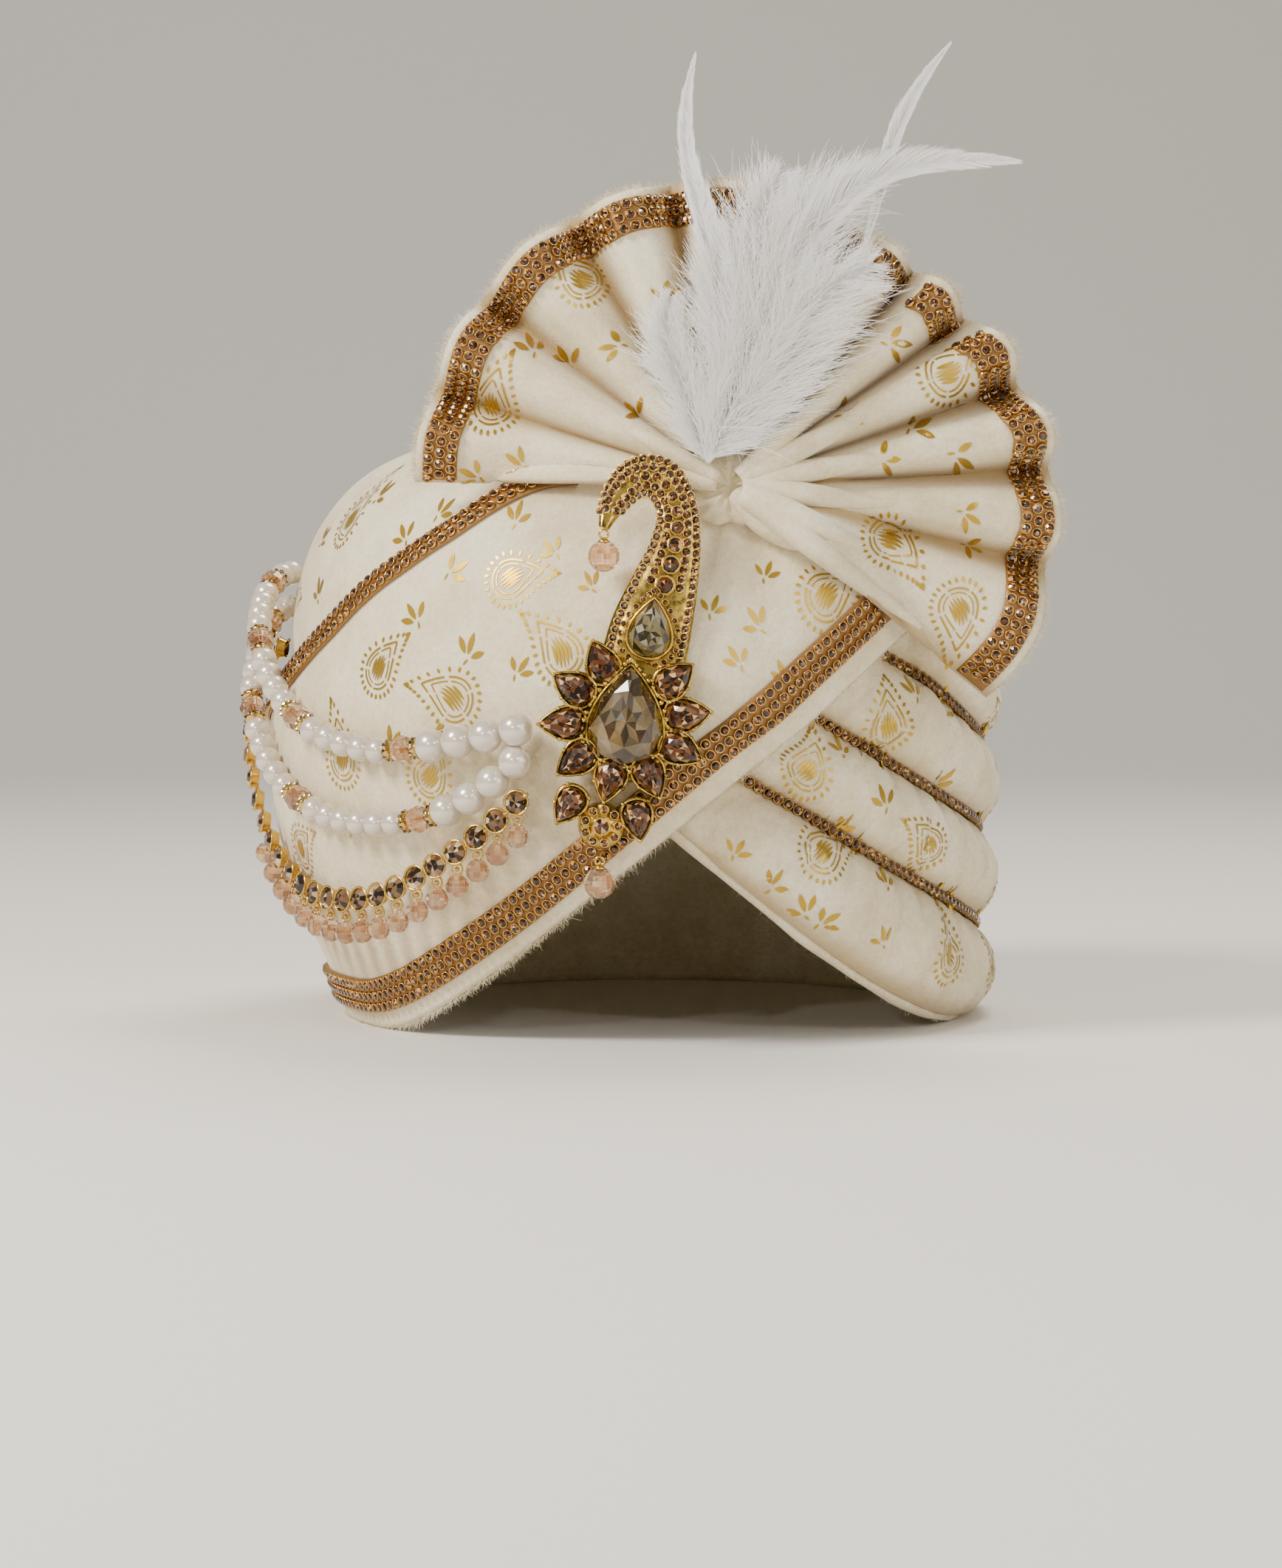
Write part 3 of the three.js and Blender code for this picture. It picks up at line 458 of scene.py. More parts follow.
def fan_surface(bearing, radius, out=0.0):
    turn = np.radians(bearing)
    x, z = FAN_X + radius * np.cos(turn), FAN_Z + radius * np.sin(turn)
    share = np.clip(radius / fan_reach(bearing), 0, 1)
    wave = 1.15 * pleat(bearing) * share**0.6 + 0.5 * crumple(bearing * 1.1, radius) * share
    opened = FAN_Y + FAN_LEAN * (radius - FAN_HUB) - wave
    draped = front_of(x, z, layers_under_fan(x)) - 3 - 0.6 * np.maximum(wave, 0)
    return np.stack([x, np.minimum(opened, draped) - out, z], -1)


# Meshes.
def grid(columns, rows, point):
    """A sheet of quads, mapped by point(u, v) with both shares from 0 to 1."""
    bm = bmesh.new()
    bmesh.ops.create_grid(bm, x_segments=columns, y_segments=rows, size=0.5)
    shares = np.array([v.co[:2] for v in bm.verts]) + 0.5
    for vert, place in zip(bm.verts, point(shares[:, 0], shares[:, 1])):
        vert.co = place
    return bm


def weld(bm, distance, caps):
    """Joins points that meet, closes any holes left, and turns the faces outward."""
    bmesh.ops.remove_doubles(bm, verts=bm.verts[:], dist=distance)
    if caps:
        bmesh.ops.holes_fill(bm, edges=[e for e in bm.edges if e.is_boundary], sides=0)
    bmesh.ops.recalc_face_normals(bm, faces=bm.faces[:])
    return bm


def loft(rings, caps=True, painted_shade=None):
    """A skin over closed rings of points, as an array of rings, points and coordinates."""
    rings = np.asarray(rings, float)
    levels, count = rings.shape[:2]
    closed = np.concatenate([rings, rings[:, :1]], 1)

    def point(u, v):
        level = np.rint(v * (levels - 1)).astype(int)
        return closed[level, np.rint(u * count).astype(int)]

    bm = grid(count, levels - 1, point)
    # Stores an amount of painted shade on each point, the same for every ring.
    if painted_shade is not None:
        depth = bm.verts.layers.float.new("painted_shade")
        for vert, value in zip(bm.verts, np.tile(np.r_[painted_shade, painted_shade[:1]], levels)):
            vert[depth] = value
    return weld(bm, 1e-4, caps)


def tube(path, radius, sides):
    """A round wire along a path, with a radius for the whole of it or for each point."""
    path = np.asarray(path, float)
    way = unit(np.gradient(path, axis=0))
    aside = unit(np.cross(way, np.where(np.abs(way[:, 2:]) > 0.9, (1.0, 0, 0), (0, 0, 1.0))))
    over = np.cross(way, aside)
    turns = np.arange(sides) * 2 * np.pi / sides
    size = np.broadcast_to(radius, len(path))[:, None, None]
    ring = np.cos(turns)[:, None] * aside[:, None] + np.sin(turns)[:, None] * over[:, None]
    return loft(path[:, None] + size * ring)


def cone(sides, low, high, depth, caps=True):
    bm = bmesh.new()
    bmesh.ops.create_cone(bm, segments=sides, radius1=low, radius2=high, depth=depth, cap_ends=caps)
    return bm


def placed(bm, place):
    bmesh.ops.transform(bm, matrix=place, verts=bm.verts[:])
    return bm


def moved(bm, *step):
    return placed(bm, Matrix.Translation(step))


def swell(bm, pinned, pressure, slack, cap):
    """Puffs cloth out by simulation. Pinned points hold, and no point moves further than the cap."""
    bm.verts.index_update()
    before = np.array([v.co[:] for v in bm.verts])
    mesh = bpy.data.meshes.new("swelling")
    bm.to_mesh(mesh)
    mesh.transform(Matrix.Scale(SWELL_SCALE, 4))
    cloth_piece = bpy.data.objects.new("swelling", mesh)
    bpy.context.scene.collection.objects.link(cloth_piece)
    pin = cloth_piece.vertex_groups.new(name="pin")
    pin.add(np.flatnonzero(pinned).tolist(), 1.0, "REPLACE")
    made = cloth_piece.modifiers.new("swelling", "CLOTH")
    cloth = made.settings
    cloth.quality = 6
    cloth.mass = 0.3
    cloth.tension_stiffness = cloth.compression_stiffness = 15
    cloth.shear_stiffness = 5
    cloth.bending_stiffness = 0.15
    cloth.use_pressure = True
    cloth.uniform_pressure_force = pressure
    cloth.shrink_min = -slack
    cloth.vertex_group_mass = "pin"
    cloth.effector_weights.gravity = 0
    made.collision_settings.use_collision = False
    made.point_cache.frame_start, made.point_cache.frame_end = 1, SWELL_FRAMES
    for number in range(1, SWELL_FRAMES + 1):
        bpy.context.scene.frame_set(number)
    solved = cloth_piece.evaluated_get(bpy.context.evaluated_depsgraph_get()).data
    after = np.empty(len(before) * 3)
    solved.vertices.foreach_get("co", after)
    step = after.reshape(-1, 3) / SWELL_SCALE - before
    far = np.linalg.norm(step, axis=1, keepdims=True)
    for vert, place in zip(bm.verts, before + step * np.minimum(1, cap / np.maximum(far, 1e-9))):
        vert.co = place
    bpy.data.objects.remove(cloth_piece)
    bpy.data.meshes.remove(mesh)
    bpy.context.scene.frame_set(1)
    return bm


def join(target, *others):
    for other in others:
        scratch = bpy.data.meshes.new("scratch")
        other.to_mesh(scratch)
        other.free()
        target.from_mesh(scratch)
        bpy.data.meshes.remove(scratch)
    return target


def paint(bm, index, smooth=True):
    for face in bm.faces:
        face.material_index = index
        face.smooth = smooth
    return bm


def settle(name, mesh, materials, nodes=()):
    """Links a mesh made in millimetres as a piece of the object."""
    mesh.transform(Matrix.Scale(MM, 4))
    # Each facet of a jewel gets a random value that its material turns into a painted dark, the body colour
    # or a painted highlight.
    if any(m in JEWELS for m in materials):
        glint = mesh.attributes.new("glint", "FLOAT", "FACE")
        glint.data.foreach_set("value", rng.random(len(mesh.polygons)).astype(np.float32))
    for material in materials:
        mesh.materials.append(material)
    piece = bpy.data.objects.new(name.replace(" ", "_"), mesh)
    bpy.context.scene.collection.objects.link(piece)
    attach(piece, "root")
    if nodes:
        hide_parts(*nodes)
    return piece


def build(name, bm, materials, nodes=(), painted_shade=None):
    mesh = bpy.data.meshes.new(name)
    bm.to_mesh(mesh)
    bm.free()
    # Stores an amount of painted shade on each point.
    if painted_shade is not None:
        shade = mesh.attributes.new("painted_shade", "FLOAT", "POINT")
        shade.data.foreach_set("value", np.asarray(painted_shade, np.float32))
    return settle(name, mesh, materials, nodes)


def raw_mesh(name, points, faces_of, materials_of, smooth_of):
    """A mesh from arrays: points, a list of equal-length corner arrays, and each face's material."""
    mesh = bpy.data.meshes.new(name)
    corners = np.concatenate([f.ravel() for f in faces_of])
    totals = np.concatenate([np.full(len(f), f.shape[1]) for f in faces_of])
    mesh.vertices.add(len(points))
    mesh.vertices.foreach_set("co", np.asarray(points, np.float32).ravel())
    mesh.loops.add(len(corners))
    mesh.loops.foreach_set("vertex_index", corners.astype(np.int32))
    mesh.polygons.add(len(totals))
    mesh.polygons.foreach_set("loop_start", np.r_[0, np.cumsum(totals)[:-1]].astype(np.int32))
    mesh.polygons.foreach_set("loop_total", totals.astype(np.int32))
    mesh.polygons.foreach_set("material_index", np.concatenate(materials_of).astype(np.int32))
    mesh.polygons.foreach_set("use_smooth", np.concatenate(smooth_of).astype(bool))
    mesh.update(calc_edges=True)
    return mesh


def copies(name, shape, places, materials, nodes=()):
    """One shape set at many 4x4 places, as one mesh."""
    places = np.asarray(places, float)
    points = np.array([v.co[:] for v in shape.verts])
    shape.verts.index_update()
    spread = np.einsum("nij,vj->nvi", places[:, :3, :3], points) + places[:, None, :3, 3]
    offsets = np.arange(len(places)) * len(points)
    faces_of, materials_of, smooth_of = [], [], []
    for size in sorted({len(f.verts) for f in shape.faces}):
        same = [f for f in shape.faces if len(f.verts) == size]
        corners = np.array([[v.index for v in f.verts] for f in same])
        faces_of.append((offsets[:, None, None] + corners).reshape(-1, size))
        materials_of.append(np.tile([f.material_index for f in same], len(places)))
        smooth_of.append(np.tile([f.smooth for f in same], len(places)))
    shape.free()
    mesh = raw_mesh(name, spread.reshape(-1, 3), faces_of, materials_of, smooth_of)
    return settle(name, mesh, materials, nodes)


def ribbons(name, left, right, material, slot, nodes=()):
    """Many narrow strips from their two edges, each an array of strips, points and coordinates."""
    count, steps = left.shape[:2]
    points = np.stack([left, right], 2).reshape(-1, 3)
    base = np.arange(count)[:, None] * steps * 2 + np.arange(steps - 1)[None] * 2
    quads = np.stack([base, base + 1, base + 3, base + 2], -1).reshape(-1, 4)
    mesh = raw_mesh(name, points, [quads], [np.zeros(len(quads))], [np.ones(len(quads))])
    return settle(name, mesh, [material], nodes)


def frames(origin, along, normal, scale=1.0):
    """Places with X along a direction and Z on a normal, one for all or one for each."""
    normal = unit(normal)
    across = unit(np.cross(normal, along))
    along = np.cross(across, normal)
    places = np.zeros((len(origin), 4, 4))
    size = np.broadcast_to(scale, len(origin))[:, None]
    for axis, way in enumerate((along, across, normal)):
        places[:, :3, axis] = way * size
    places[:, :3, 3] = origin
    places[:, 3, 3] = 1
    return places


def outer_side(surface, u, v):
    """Points of a surface, its run along u, and its normals on the outer side."""
    here = surface(u, v)
    along = surface(u + 0.2, v) - surface(u - 0.2, v)
    across = surface(u, v + 0.2) - surface(u, v - 0.2)
    normal = unit(np.cross(along, across))
    outward = (here - (FULL_SHIFT, 20, 0)) * (1, 1, 0) + (0, 0, 1)
    return here, along, normal * np.sign((normal * outward).sum(-1, keepdims=True))


def seats(surface, u, v, scale=1.0):
    """Places on a surface, standing on its outer side."""
    return frames(*outer_side(surface, u, v), scale)


def run_of(points):
    """Length of a line up to each of its points."""
    return np.r_[0, np.cumsum(np.linalg.norm(np.diff(points, axis=0), axis=1))]


def read_rows(places, knots, rows):
    return np.stack([np.interp(places, knots, values) for values in rows.T], 1)


def paced(line, low, high, pitch, offset):
    """Values of a line's parameter at even steps of its length."""
    values = np.linspace(low, high, 2400)
    run = run_of(line(values))
    count = int((run[-1] - offset) / pitch)
    return np.interp(offset + pitch * np.arange(count), run, values)


def through(points):
    """A dense smooth line through points, with steps of even length, and its length."""
    points = np.asarray(points, float)
    ends = [2 * points[0] - points[1], *points, 2 * points[-1] - points[-2]]
    line = []
    t = np.linspace(0, 1, STEPS_BETWEEN, endpoint=False)[:, None]
    for a, b, c, d in zip(ends, ends[1:], ends[2:], ends[3:]):
        pairs = ((a, b), (b, c), (c, d))
        before, here, after = (max(np.linalg.norm(q - p), 1e-6) ** 0.5 for p, q in pairs)
        start = here * ((b - a) / before - (c - a) / (before + here) + (c - b) / here)
        finish = here * ((c - b) / here - (d - b) / (here + after) + (d - c) / after)
        cubic = (2 * b - 2 * c + start + finish) * t**3 + (3 * c - 3 * b - 2 * start - finish) * t**2
        line.append(cubic + start * t + b)
    line = np.concatenate([*line, points[-1:]])
    run = run_of(line)
    even = np.linspace(0, run[-1], len(line))
    return read_rows(even, run, line), run[-1]


def along_line(line, share):
    """Points and directions at shares of a dense line."""
    place = np.clip(np.asarray(share), 0, 1) * (len(line) - 1)
    index = np.arange(len(line))
    way = np.gradient(line, axis=0)
    return read_rows(place, index, line), unit(read_rows(place, index, way))


# Materials.
def material(name, **sockets):
    made = bpy.data.materials.new(name)
    made.use_nodes = True
    shader = made.node_tree.nodes["Principled BSDF"]
    for socket, value in sockets.items():
        shader.inputs[socket.replace("_", " ")].default_value = value
    return made, made.node_tree, shader


def noise(tree, scale, detail, rough):
    place = tree.nodes.new("ShaderNodeTexCoord")
    made = tree.nodes.new("ShaderNodeTexNoise")
    made.inputs["Scale"].default_value = scale
    made.inputs["Detail"].default_value = detail
    made.inputs["Roughness"].default_value = rough
    tree.links.new(place.outputs["Object"], made.inputs["Vector"])
    return made.outputs["Fac"]


def ramp(tree, factor, stops):
    made = tree.nodes.new("ShaderNodeValToRGB")
    made.color_ramp.elements[0].position, made.color_ramp.elements[0].color = stops[0]
    made.color_ramp.elements[1].position, made.color_ramp.elements[1].color = stops[-1]
    for position, color in stops[1:-1]:
        made.color_ramp.elements.new(position).color = color
    tree.links.new(factor, made.inputs["Fac"])
    return made.outputs["Color"]


def blend(tree, factor, first, second, mode="MIX"):
    made = tree.nodes.new("ShaderNodeMix")
    made.data_type = "RGBA"
    made.blend_type = mode
    for value, socket in ((factor, "Factor_Float"), (first, "A_Color"), (second, "B_Color")):
        target = next(i for i in made.inputs if i.identifier == socket)
        if isinstance(value, bpy.types.NodeSocket):
            tree.links.new(value, target)
        else:
            target.default_value = value
    return next(o for o in made.outputs if o.identifier == "Result_Color")


def bump(tree, shader, height, strength, distance):
    made = tree.nodes.new("ShaderNodeBump")
    made.inputs["Strength"].default_value = strength
    made.inputs["Distance"].default_value = distance
    tree.links.new(height, made.inputs["Height"])
    tree.links.new(made.outputs["Normal"], shader.inputs["Normal"])


def read_attribute(tree, name):
    made = tree.nodes.new("ShaderNodeAttribute")
    made.attribute_name = name
    return made.outputs["Fac"]


# Painted sheen with random tone: large soft lighter and darker patches, as where the pile is crushed.
CRUSHED_SHEEN_AND_TONE = [
    (0.34, (0.74, 0.64, 0.43, 1)),
    (0.5, (0.84, 0.75, 0.53, 1)),
    (0.66, (0.93, 0.86, 0.67, 1)),
]
SPECKLED_PILE = [(0.3, (0.84, 0.81, 0.76, 1)), (0.7, (1.0, 1.0, 1.0, 1))]
# Painted shade: a warm dark colour mixed into the velvet in the fan's creases, the grooves between the
# rolls and along the wrap's top edge.
PAINTED_FOLD_SHADE = (0.42, 0.28, 0.11, 1)


def velvet(name):
    """Short ivory pile: patches of painted sheen where the pile is crushed, over random tone, and a warm
    painted shade down in the folds.
    """
    made, tree, shader = material(
        name,
        Roughness=0.85,
        Specular_IOR_Level=0.2,
        Sheen_Weight=0.5,
        Sheen_Roughness=0.35,
        Sheen_Tint=(1.0, 0.94, 0.83, 1),
    )
    # Painted sheen of crushed pile over random tone, in large patches.
    sheen_and_tone = ramp(tree, noise(tree, 38, 5, 0.62), CRUSHED_SHEEN_AND_TONE)
    speckle = ramp(tree, noise(tree, 620, 3, 0.75), SPECKLED_PILE)
    pile = blend(tree, 1.0, sheen_and_tone, speckle, "MULTIPLY")
    # Mixes in the painted shade by the amount stored on each point.
    shaded_pile = blend(tree, read_attribute(tree, "painted_shade"), pile, PAINTED_FOLD_SHADE)
    tree.links.new(shaded_pile, shader.inputs["Base Color"])
    bump(tree, shader, noise(tree, 1300, 3, 0.7), 0.6, 0.0006)
    return made


def plain(name, color, **sockets):
    return material(name, Base_Color=(*color, 1), **sockets)[0]


def patina(name, worn, bright, **sockets):
    """Cast metal, dull and dark in spots."""
    made, tree, shader = material(name, **sockets)
    color = ramp(tree, noise(tree, 420, 4, 0.6), [(0.38, (*worn, 1)), (0.56, (*bright, 1))])
    tree.links.new(color, shader.inputs["Base Color"])
    return made


def jewel(name, dark, body, bright, **sockets):
    """A cut stone whose facets each get, at random, a painted dark, the body colour or a painted highlight.
    """
    made, tree, shader = material(name, Roughness=0.06, Coat_Weight=0.6, Coat_Roughness=0.02, **sockets)
    shades = ((0.0, dark), (0.36, dark), (0.56, body), (0.84, body), (1.0, bright))
    stops = [(place, (*shade, 1)) for place, shade in shades]
    tree.links.new(ramp(tree, read_attribute(tree, "glint"), stops), shader.inputs["Base Color"])
    return made


VELVET = velvet("ivory velvet")
FOIL = plain("gold foil", (0.52, 0.33, 0.03), Metallic=0.75, Roughness=0.34)
GOLD = plain("polished gold", (0.7, 0.46, 0.11), Metallic=1.0, Roughness=0.2)
BROOCH_GOLD = patina("antique gold", (0.2, 0.12, 0.025), (0.66, 0.46, 0.1), Metallic=1.0, Roughness=0.24)
CUP = plain("stone cup gold", (0.6, 0.35, 0.1), Metallic=1.0, Roughness=0.24)
BRONZE = plain("groove chain bronze", (0.3, 0.17, 0.05), Metallic=1.0, Roughness=0.28)
TAPE = plain("copper tape", (0.28, 0.145, 0.045), Roughness=0.5, Metallic=0.4)
TOPAZ = jewel("topaz stone", (0.012, 0.004, 0.002), (0.12, 0.038, 0.008), (0.95, 0.55, 0.2), Metallic=0.2)
SMOKE = jewel("smoky stone", (0.02, 0.011, 0.006), (0.24, 0.13, 0.06), (1.0, 0.84, 0.62), Metallic=0.35)
CHAMPAGNE = jewel(
    "champagne stone", (0.1, 0.06, 0.02), (0.66, 0.5, 0.23), (1.0, 0.95, 0.8),
    Transmission_Weight=0.85, IOR=1.6,
)
LEMON = jewel(
    "pale neck stone", (0.06, 0.045, 0.015), (0.5, 0.42, 0.2), (1.0, 0.96, 0.76),
    Transmission_Weight=0.7, IOR=1.5,
)
PEARL = plain(
    "pearl", (0.7, 0.63, 0.53), Metallic=0.35, Roughness=0.24, Coat_Weight=0.9, Coat_Roughness=0.1,
)
BLUSH = jewel(
    "blush crystal", (0.62, 0.33, 0.17), (0.97, 0.7, 0.47), (1.0, 0.92, 0.8),
    Transmission_Weight=0.9, IOR=1.5,
)
FEATHER = plain(
    "white feather", (0.93, 0.92, 0.9), Roughness=0.55, Specular_IOR_Level=0.2, Sheen_Weight=0.3,
)
JEWELS = [TOPAZ, SMOKE, CHAMPAGNE, LEMON, BLUSH]


def solid(piece, thick, offset=-1.0):
    made = piece.modifiers.new("cloth thickness", "SOLIDIFY")
    made.thickness = thick * MM
    made.offset = offset
    made.use_even_offset = False
    return piece


def smoother(piece):
    made = piece.modifiers.new("finer weave", "SUBSURF")
    made.levels = made.render_levels = 1
    return piece


# Crown.
def crown_point(u, v):
    angle = BROW - 180 + 360 * u
    over = np.clip((v - CROWN_WALL_SHARE) / (1 - CROWN_WALL_SHARE), 0, 1)
    dome = lerp(SHOULDER, TOP, np.sin(np.radians(over * 90)) ** (2 / FULLNESS))
    wall = lerp(crown_rim(angle), SHOULDER, np.clip(v / CROWN_WALL_SHARE, 0, 1))
    return crown_surface(angle, np.where(v <= CROWN_WALL_SHARE, wall, dome))


bm = weld(grid(CROWN_COLUMNS, CROWN_ROWS, crown_point), 0.02, caps=False)
crown_tree = BVHTree.FromBMesh(bm)
solid(build("velvet crown", paint(bm, 0), [VELVET], ["crown"]), CROWN_CLOTH)


# Wrap.
def wrap_point(u, v):
    angle = lerp(WRAP_FROM, WRAP_TO, u)
    return wrap_surface(angle, lerp(wrap_hem(angle), wrap_top(angle), v))


bm = grid(WRAP_COLUMNS, WRAP_ROWS, wrap_point)
row, place = np.divmod(np.arange((WRAP_COLUMNS + 1) * (WRAP_ROWS + 1)), WRAP_COLUMNS + 1)
angle, share = lerp(WRAP_FROM, WRAP_TO, place / WRAP_COLUMNS), row / WRAP_ROWS
tall = wrap_top(angle) - wrap_hem(angle)
held = (share * tall < HELD_HEM) | ((1 - share) * tall < HELD_TOP)
held |= (place < 2) | (place > WRAP_COLUMNS - 2)
swell(bm, held, pressure=0.9, slack=0.0, cap=1.6)
wrap_tree = BVHTree.FromBMesh(bm)
# Painted shade along the wrap's top edge.
wrap = build("velvet wrap", paint(bm, 0), [VELVET], ["wrap"], 0.5 * smoothstep(share, 0.9, 1))
smoother(wrap)
solid(wrap, CLOTH - 0.2)

# Rolls.
roll_points, roll_faces = [], []
for number in range(ROLLS):

    def height_at(angle, number=number):
        return lerp(seam(number, angle), seam(number + 1, angle), ROLL_SHARES)

    crossing = hem_crossing(height_at)
    rings = []
    for along in np.linspace(0, 1, ROLL_COLUMNS):
        angle = lerp(crossing - ROLL_UNDER, ROLL_END, along)
        height = height_at(angle)
        face = on_crown(angle, height, roll_lift(ROLL_SHARES, angle - crossing, angle, height))
        back = on_crown(angle[ROLL_BACK], height[ROLL_BACK], ROLL_SEAT)
        rings.append(np.concatenate([face, back]))
    # Painted shade: towards each roll's seams, down in the grooves between the rolls, and full on its
    # hidden back. The same amount picks the points held in the swelling.
    edge = np.r_[0.75 * smoothstep(np.abs(2 * ROLL_SHARES - 1), 0.55, 1.0), np.ones(len(back))]
    bm = paint(loft(rings, painted_shade=edge), 0)
    depth = bm.verts.layers.float["painted_shade"]
    held = [v[depth] > 0.55 or any(len(f.verts) > 4 for f in v.link_faces) for v in bm.verts]
    swell(bm, held, pressure=3.0, slack=0.035, cap=2.2)
    roll_faces += [[v.index + len(roll_points) for v in f.verts] for f in bm.faces]
    roll_points += [v.co.copy() for v in bm.verts]
    piece = build(f"velvet roll {number + 1}", bm, [VELVET], [f"roll_{number + 1}"])
roll_tree = BVHTree.FromPolygons(roll_points, roll_faces)


# Piping along the brow edge of the lowest roll.
def brow_edge(share, depth=0.0):
    angle = lerp(PIPING_FROM, PIPING_TO, share)
    return on_crown(angle, np.maximum(seam(0, angle) + 0.6, 2.2), PIPING_SEAT - depth)


share = np.linspace(0, 1, 150)
bm = tube(brow_edge(share), PIPING_RADIUS + 0.25 * crumple(share * 160, share * 37), 10)
build("brow piping", paint(bm, 0), [VELVET])


# Fan and its gathered middle.
def fan_point(u, v):
    bearing = lerp(FAN_FROM, FAN_TO, u)
    return fan_surface(bearing, lerp(FAN_HUB - 2, fan_reach(bearing), v))


bm = grid(FAN_COLUMNS, FAN_ROWS, fan_point)
bearing = np.tile(lerp(FAN_FROM, FAN_TO, np.arange(FAN_COLUMNS + 1) / FAN_COLUMNS), FAN_ROWS + 1)
# Painted shade down in the creases between the pleats.
sunk = smoothstep(-pleat(bearing), -3, 5.5)
fan = build("velvet fan", paint(bm, 0), [VELVET], ["fan"], 0.85 * sunk)
solid(fan, FAN_CLOTH, 0.0)


def gather_back(x, z):
    return np.minimum(FAN_Y, front_of(x, z, layers_under_fan(x)) - 1)


def gather_point(u, v):
    """Bunched cloth, pinched in the middle."""
    turn = 2 * np.pi * u
    wave = np.sin(5 * turn + 0.8 + 0.9 * np.sin(turn)) + 0.4 * np.sin(11 * turn + 3 * v)
    radius = np.maximum(0.01, v) * (KNOT_RADIUS + 0.8 * wave)
    x, z = FAN_X + radius * np.cos(turn), FAN_Z + radius * np.sin(turn)
    dome = KNOT_DOME * np.maximum(0, 1 - v**2.2) ** 0.6 - KNOT_PINCH * np.exp(-((v / 0.3) ** 2))
    folds = 1.1 * wave * np.sin(np.pi * np.clip(v, 0, 0.8))
    return np.stack([x, gather_back(x, z) - dome - folds, z], -1)


def fold_lobe(bearing, length, thick, curl):
    """One rounded fold that runs from the knot out into the cloth."""
    share = np.linspace(0, 1, 22)
    turn = np.radians(bearing + curl * share**2)
    reach = lerp(3.5, length, share)
    x, z = FAN_X + reach * np.cos(turn), FAN_Z + reach * np.sin(turn)
    in_fan = smoothstep(bearing, -45, -38)
    on_fan = fan_surface(np.degrees(turn), np.maximum(reach, FAN_HUB))[:, 1]
    behind = gather_back(x, z)
    base = lerp(behind, np.minimum(on_fan, behind), in_fan)
    y = base - lerp(3.4, lerp(-3.6, -2.4, in_fan), share**1.5)
    radius = thick * np.sin(np.pi * lerp(0.3, 0.95, share)) ** 0.8
    return tube(np.stack([x, y, z], 1), radius, 16)


bm = weld(grid(216, 30, gather_point), 0.02, caps=True)
join(bm, *(fold_lobe(*row) for row in FOLD_LOBES))
gather = build("gathered knot", paint(bm, 0), [VELVET], ["fan_gather"])


# Tapes and their stones.
def chaton():
    """A round stone in its cup, 3 mm across."""
    turns = np.arange(10) * 2 * np.pi / 10
    round_cup = np.stack([np.cos(turns), np.sin(turns), 0 * turns], 1)
    profile = [(1.4, 0), (1.56, 0.85), (1.44, 1.0), (1.2, 0.8)]
    cup = loft([round_cup * (r, r, 0) + (0, 0, h) for r, h in profile], caps=False)
    stone = cone(8, 1.24, 0.62, 0.55)
    bmesh.ops.delete(stone, geom=[f for f in stone.faces if f.normal.z < -0.9], context="FACES_ONLY")
    bmesh.ops.poke(stone, faces=[f for f in stone.faces if f.normal.z > 0.9])
    return join(paint(cup, 0), paint(moved(stone, 0, 0, 1.08), 1, smooth=False))


def hem_low(angle):
    return wrap_hem(angle) + lerp(4.5, 7.5, smoothstep(angle, -15, 15))


def top_low(angle):
    return wrap_top(angle) - 1 - CROWN_TAPE_WIDTH * 1.25 + 7 * smoothstep(angle, -30, -8)


def tape_surface(low, width):
    def surface(angle, share):
        slope = (low(angle + 1) - low(angle - 1)) / (2 * math.radians(1) * FULL_HALF[1])
        height = low(angle) + share * width * np.hypot(1, slope)
        return wrap_surface(angle, height, TAPE_OUT)

    return surface


def fan_tape_surface(bearing, share):
    radius = fan_reach(bearing) - FAN_TAPE_INSET + FAN_TAPE_WIDTH * share
    return fan_surface(bearing, radius, FAN_TAPE_OUT)


def rows_of_stones(surface, shares, low, high):
    places = []
    for row, share in enumerate(shares):
        offset = STONE_PITCH * (0.5 + 0.5 * (row % 2))
        values = paced(lambda t: surface(t, np.full_like(t, share)), low, high, STONE_PITCH, offset)
        places.append(seats(surface, values, np.full_like(values, share)))
    return np.concatenate(places)


hem_tape = tape_surface(hem_low, HEM_TAPE_WIDTH)
crown_tape = tape_surface(top_low, CROWN_TAPE_WIDTH)

# Each tape's name, node, surface, rows of stones, start, end, and columns of its mesh.
TAPES = [
    ("hem", "hem_tape", hem_tape, THREE_ROWS, WRAP_FROM, HEM_TAPE_TO, 460),
    ("crown", "crown_tape", crown_tape, TWO_ROWS, WRAP_FROM, CROWN_TAPE_TO, 380),
    ("fan", "fan_tape", fan_tape_surface, THREE_ROWS, FAN_FROM, FAN_TO, 420),
]
for name, node, surface, shares, low, high, columns in TAPES:
    bm = grid(columns, 4, lambda u, v: surface(lerp(low, high, u), v))
    solid(build(f"{name} tape", paint(bm, 0), [TAPE], [node]), TAPE_THICK)
    places = rows_of_stones(surface, shares, low, high)
    copies(f"{name} tape stones", chaton(), places, [CUP, TOPAZ])

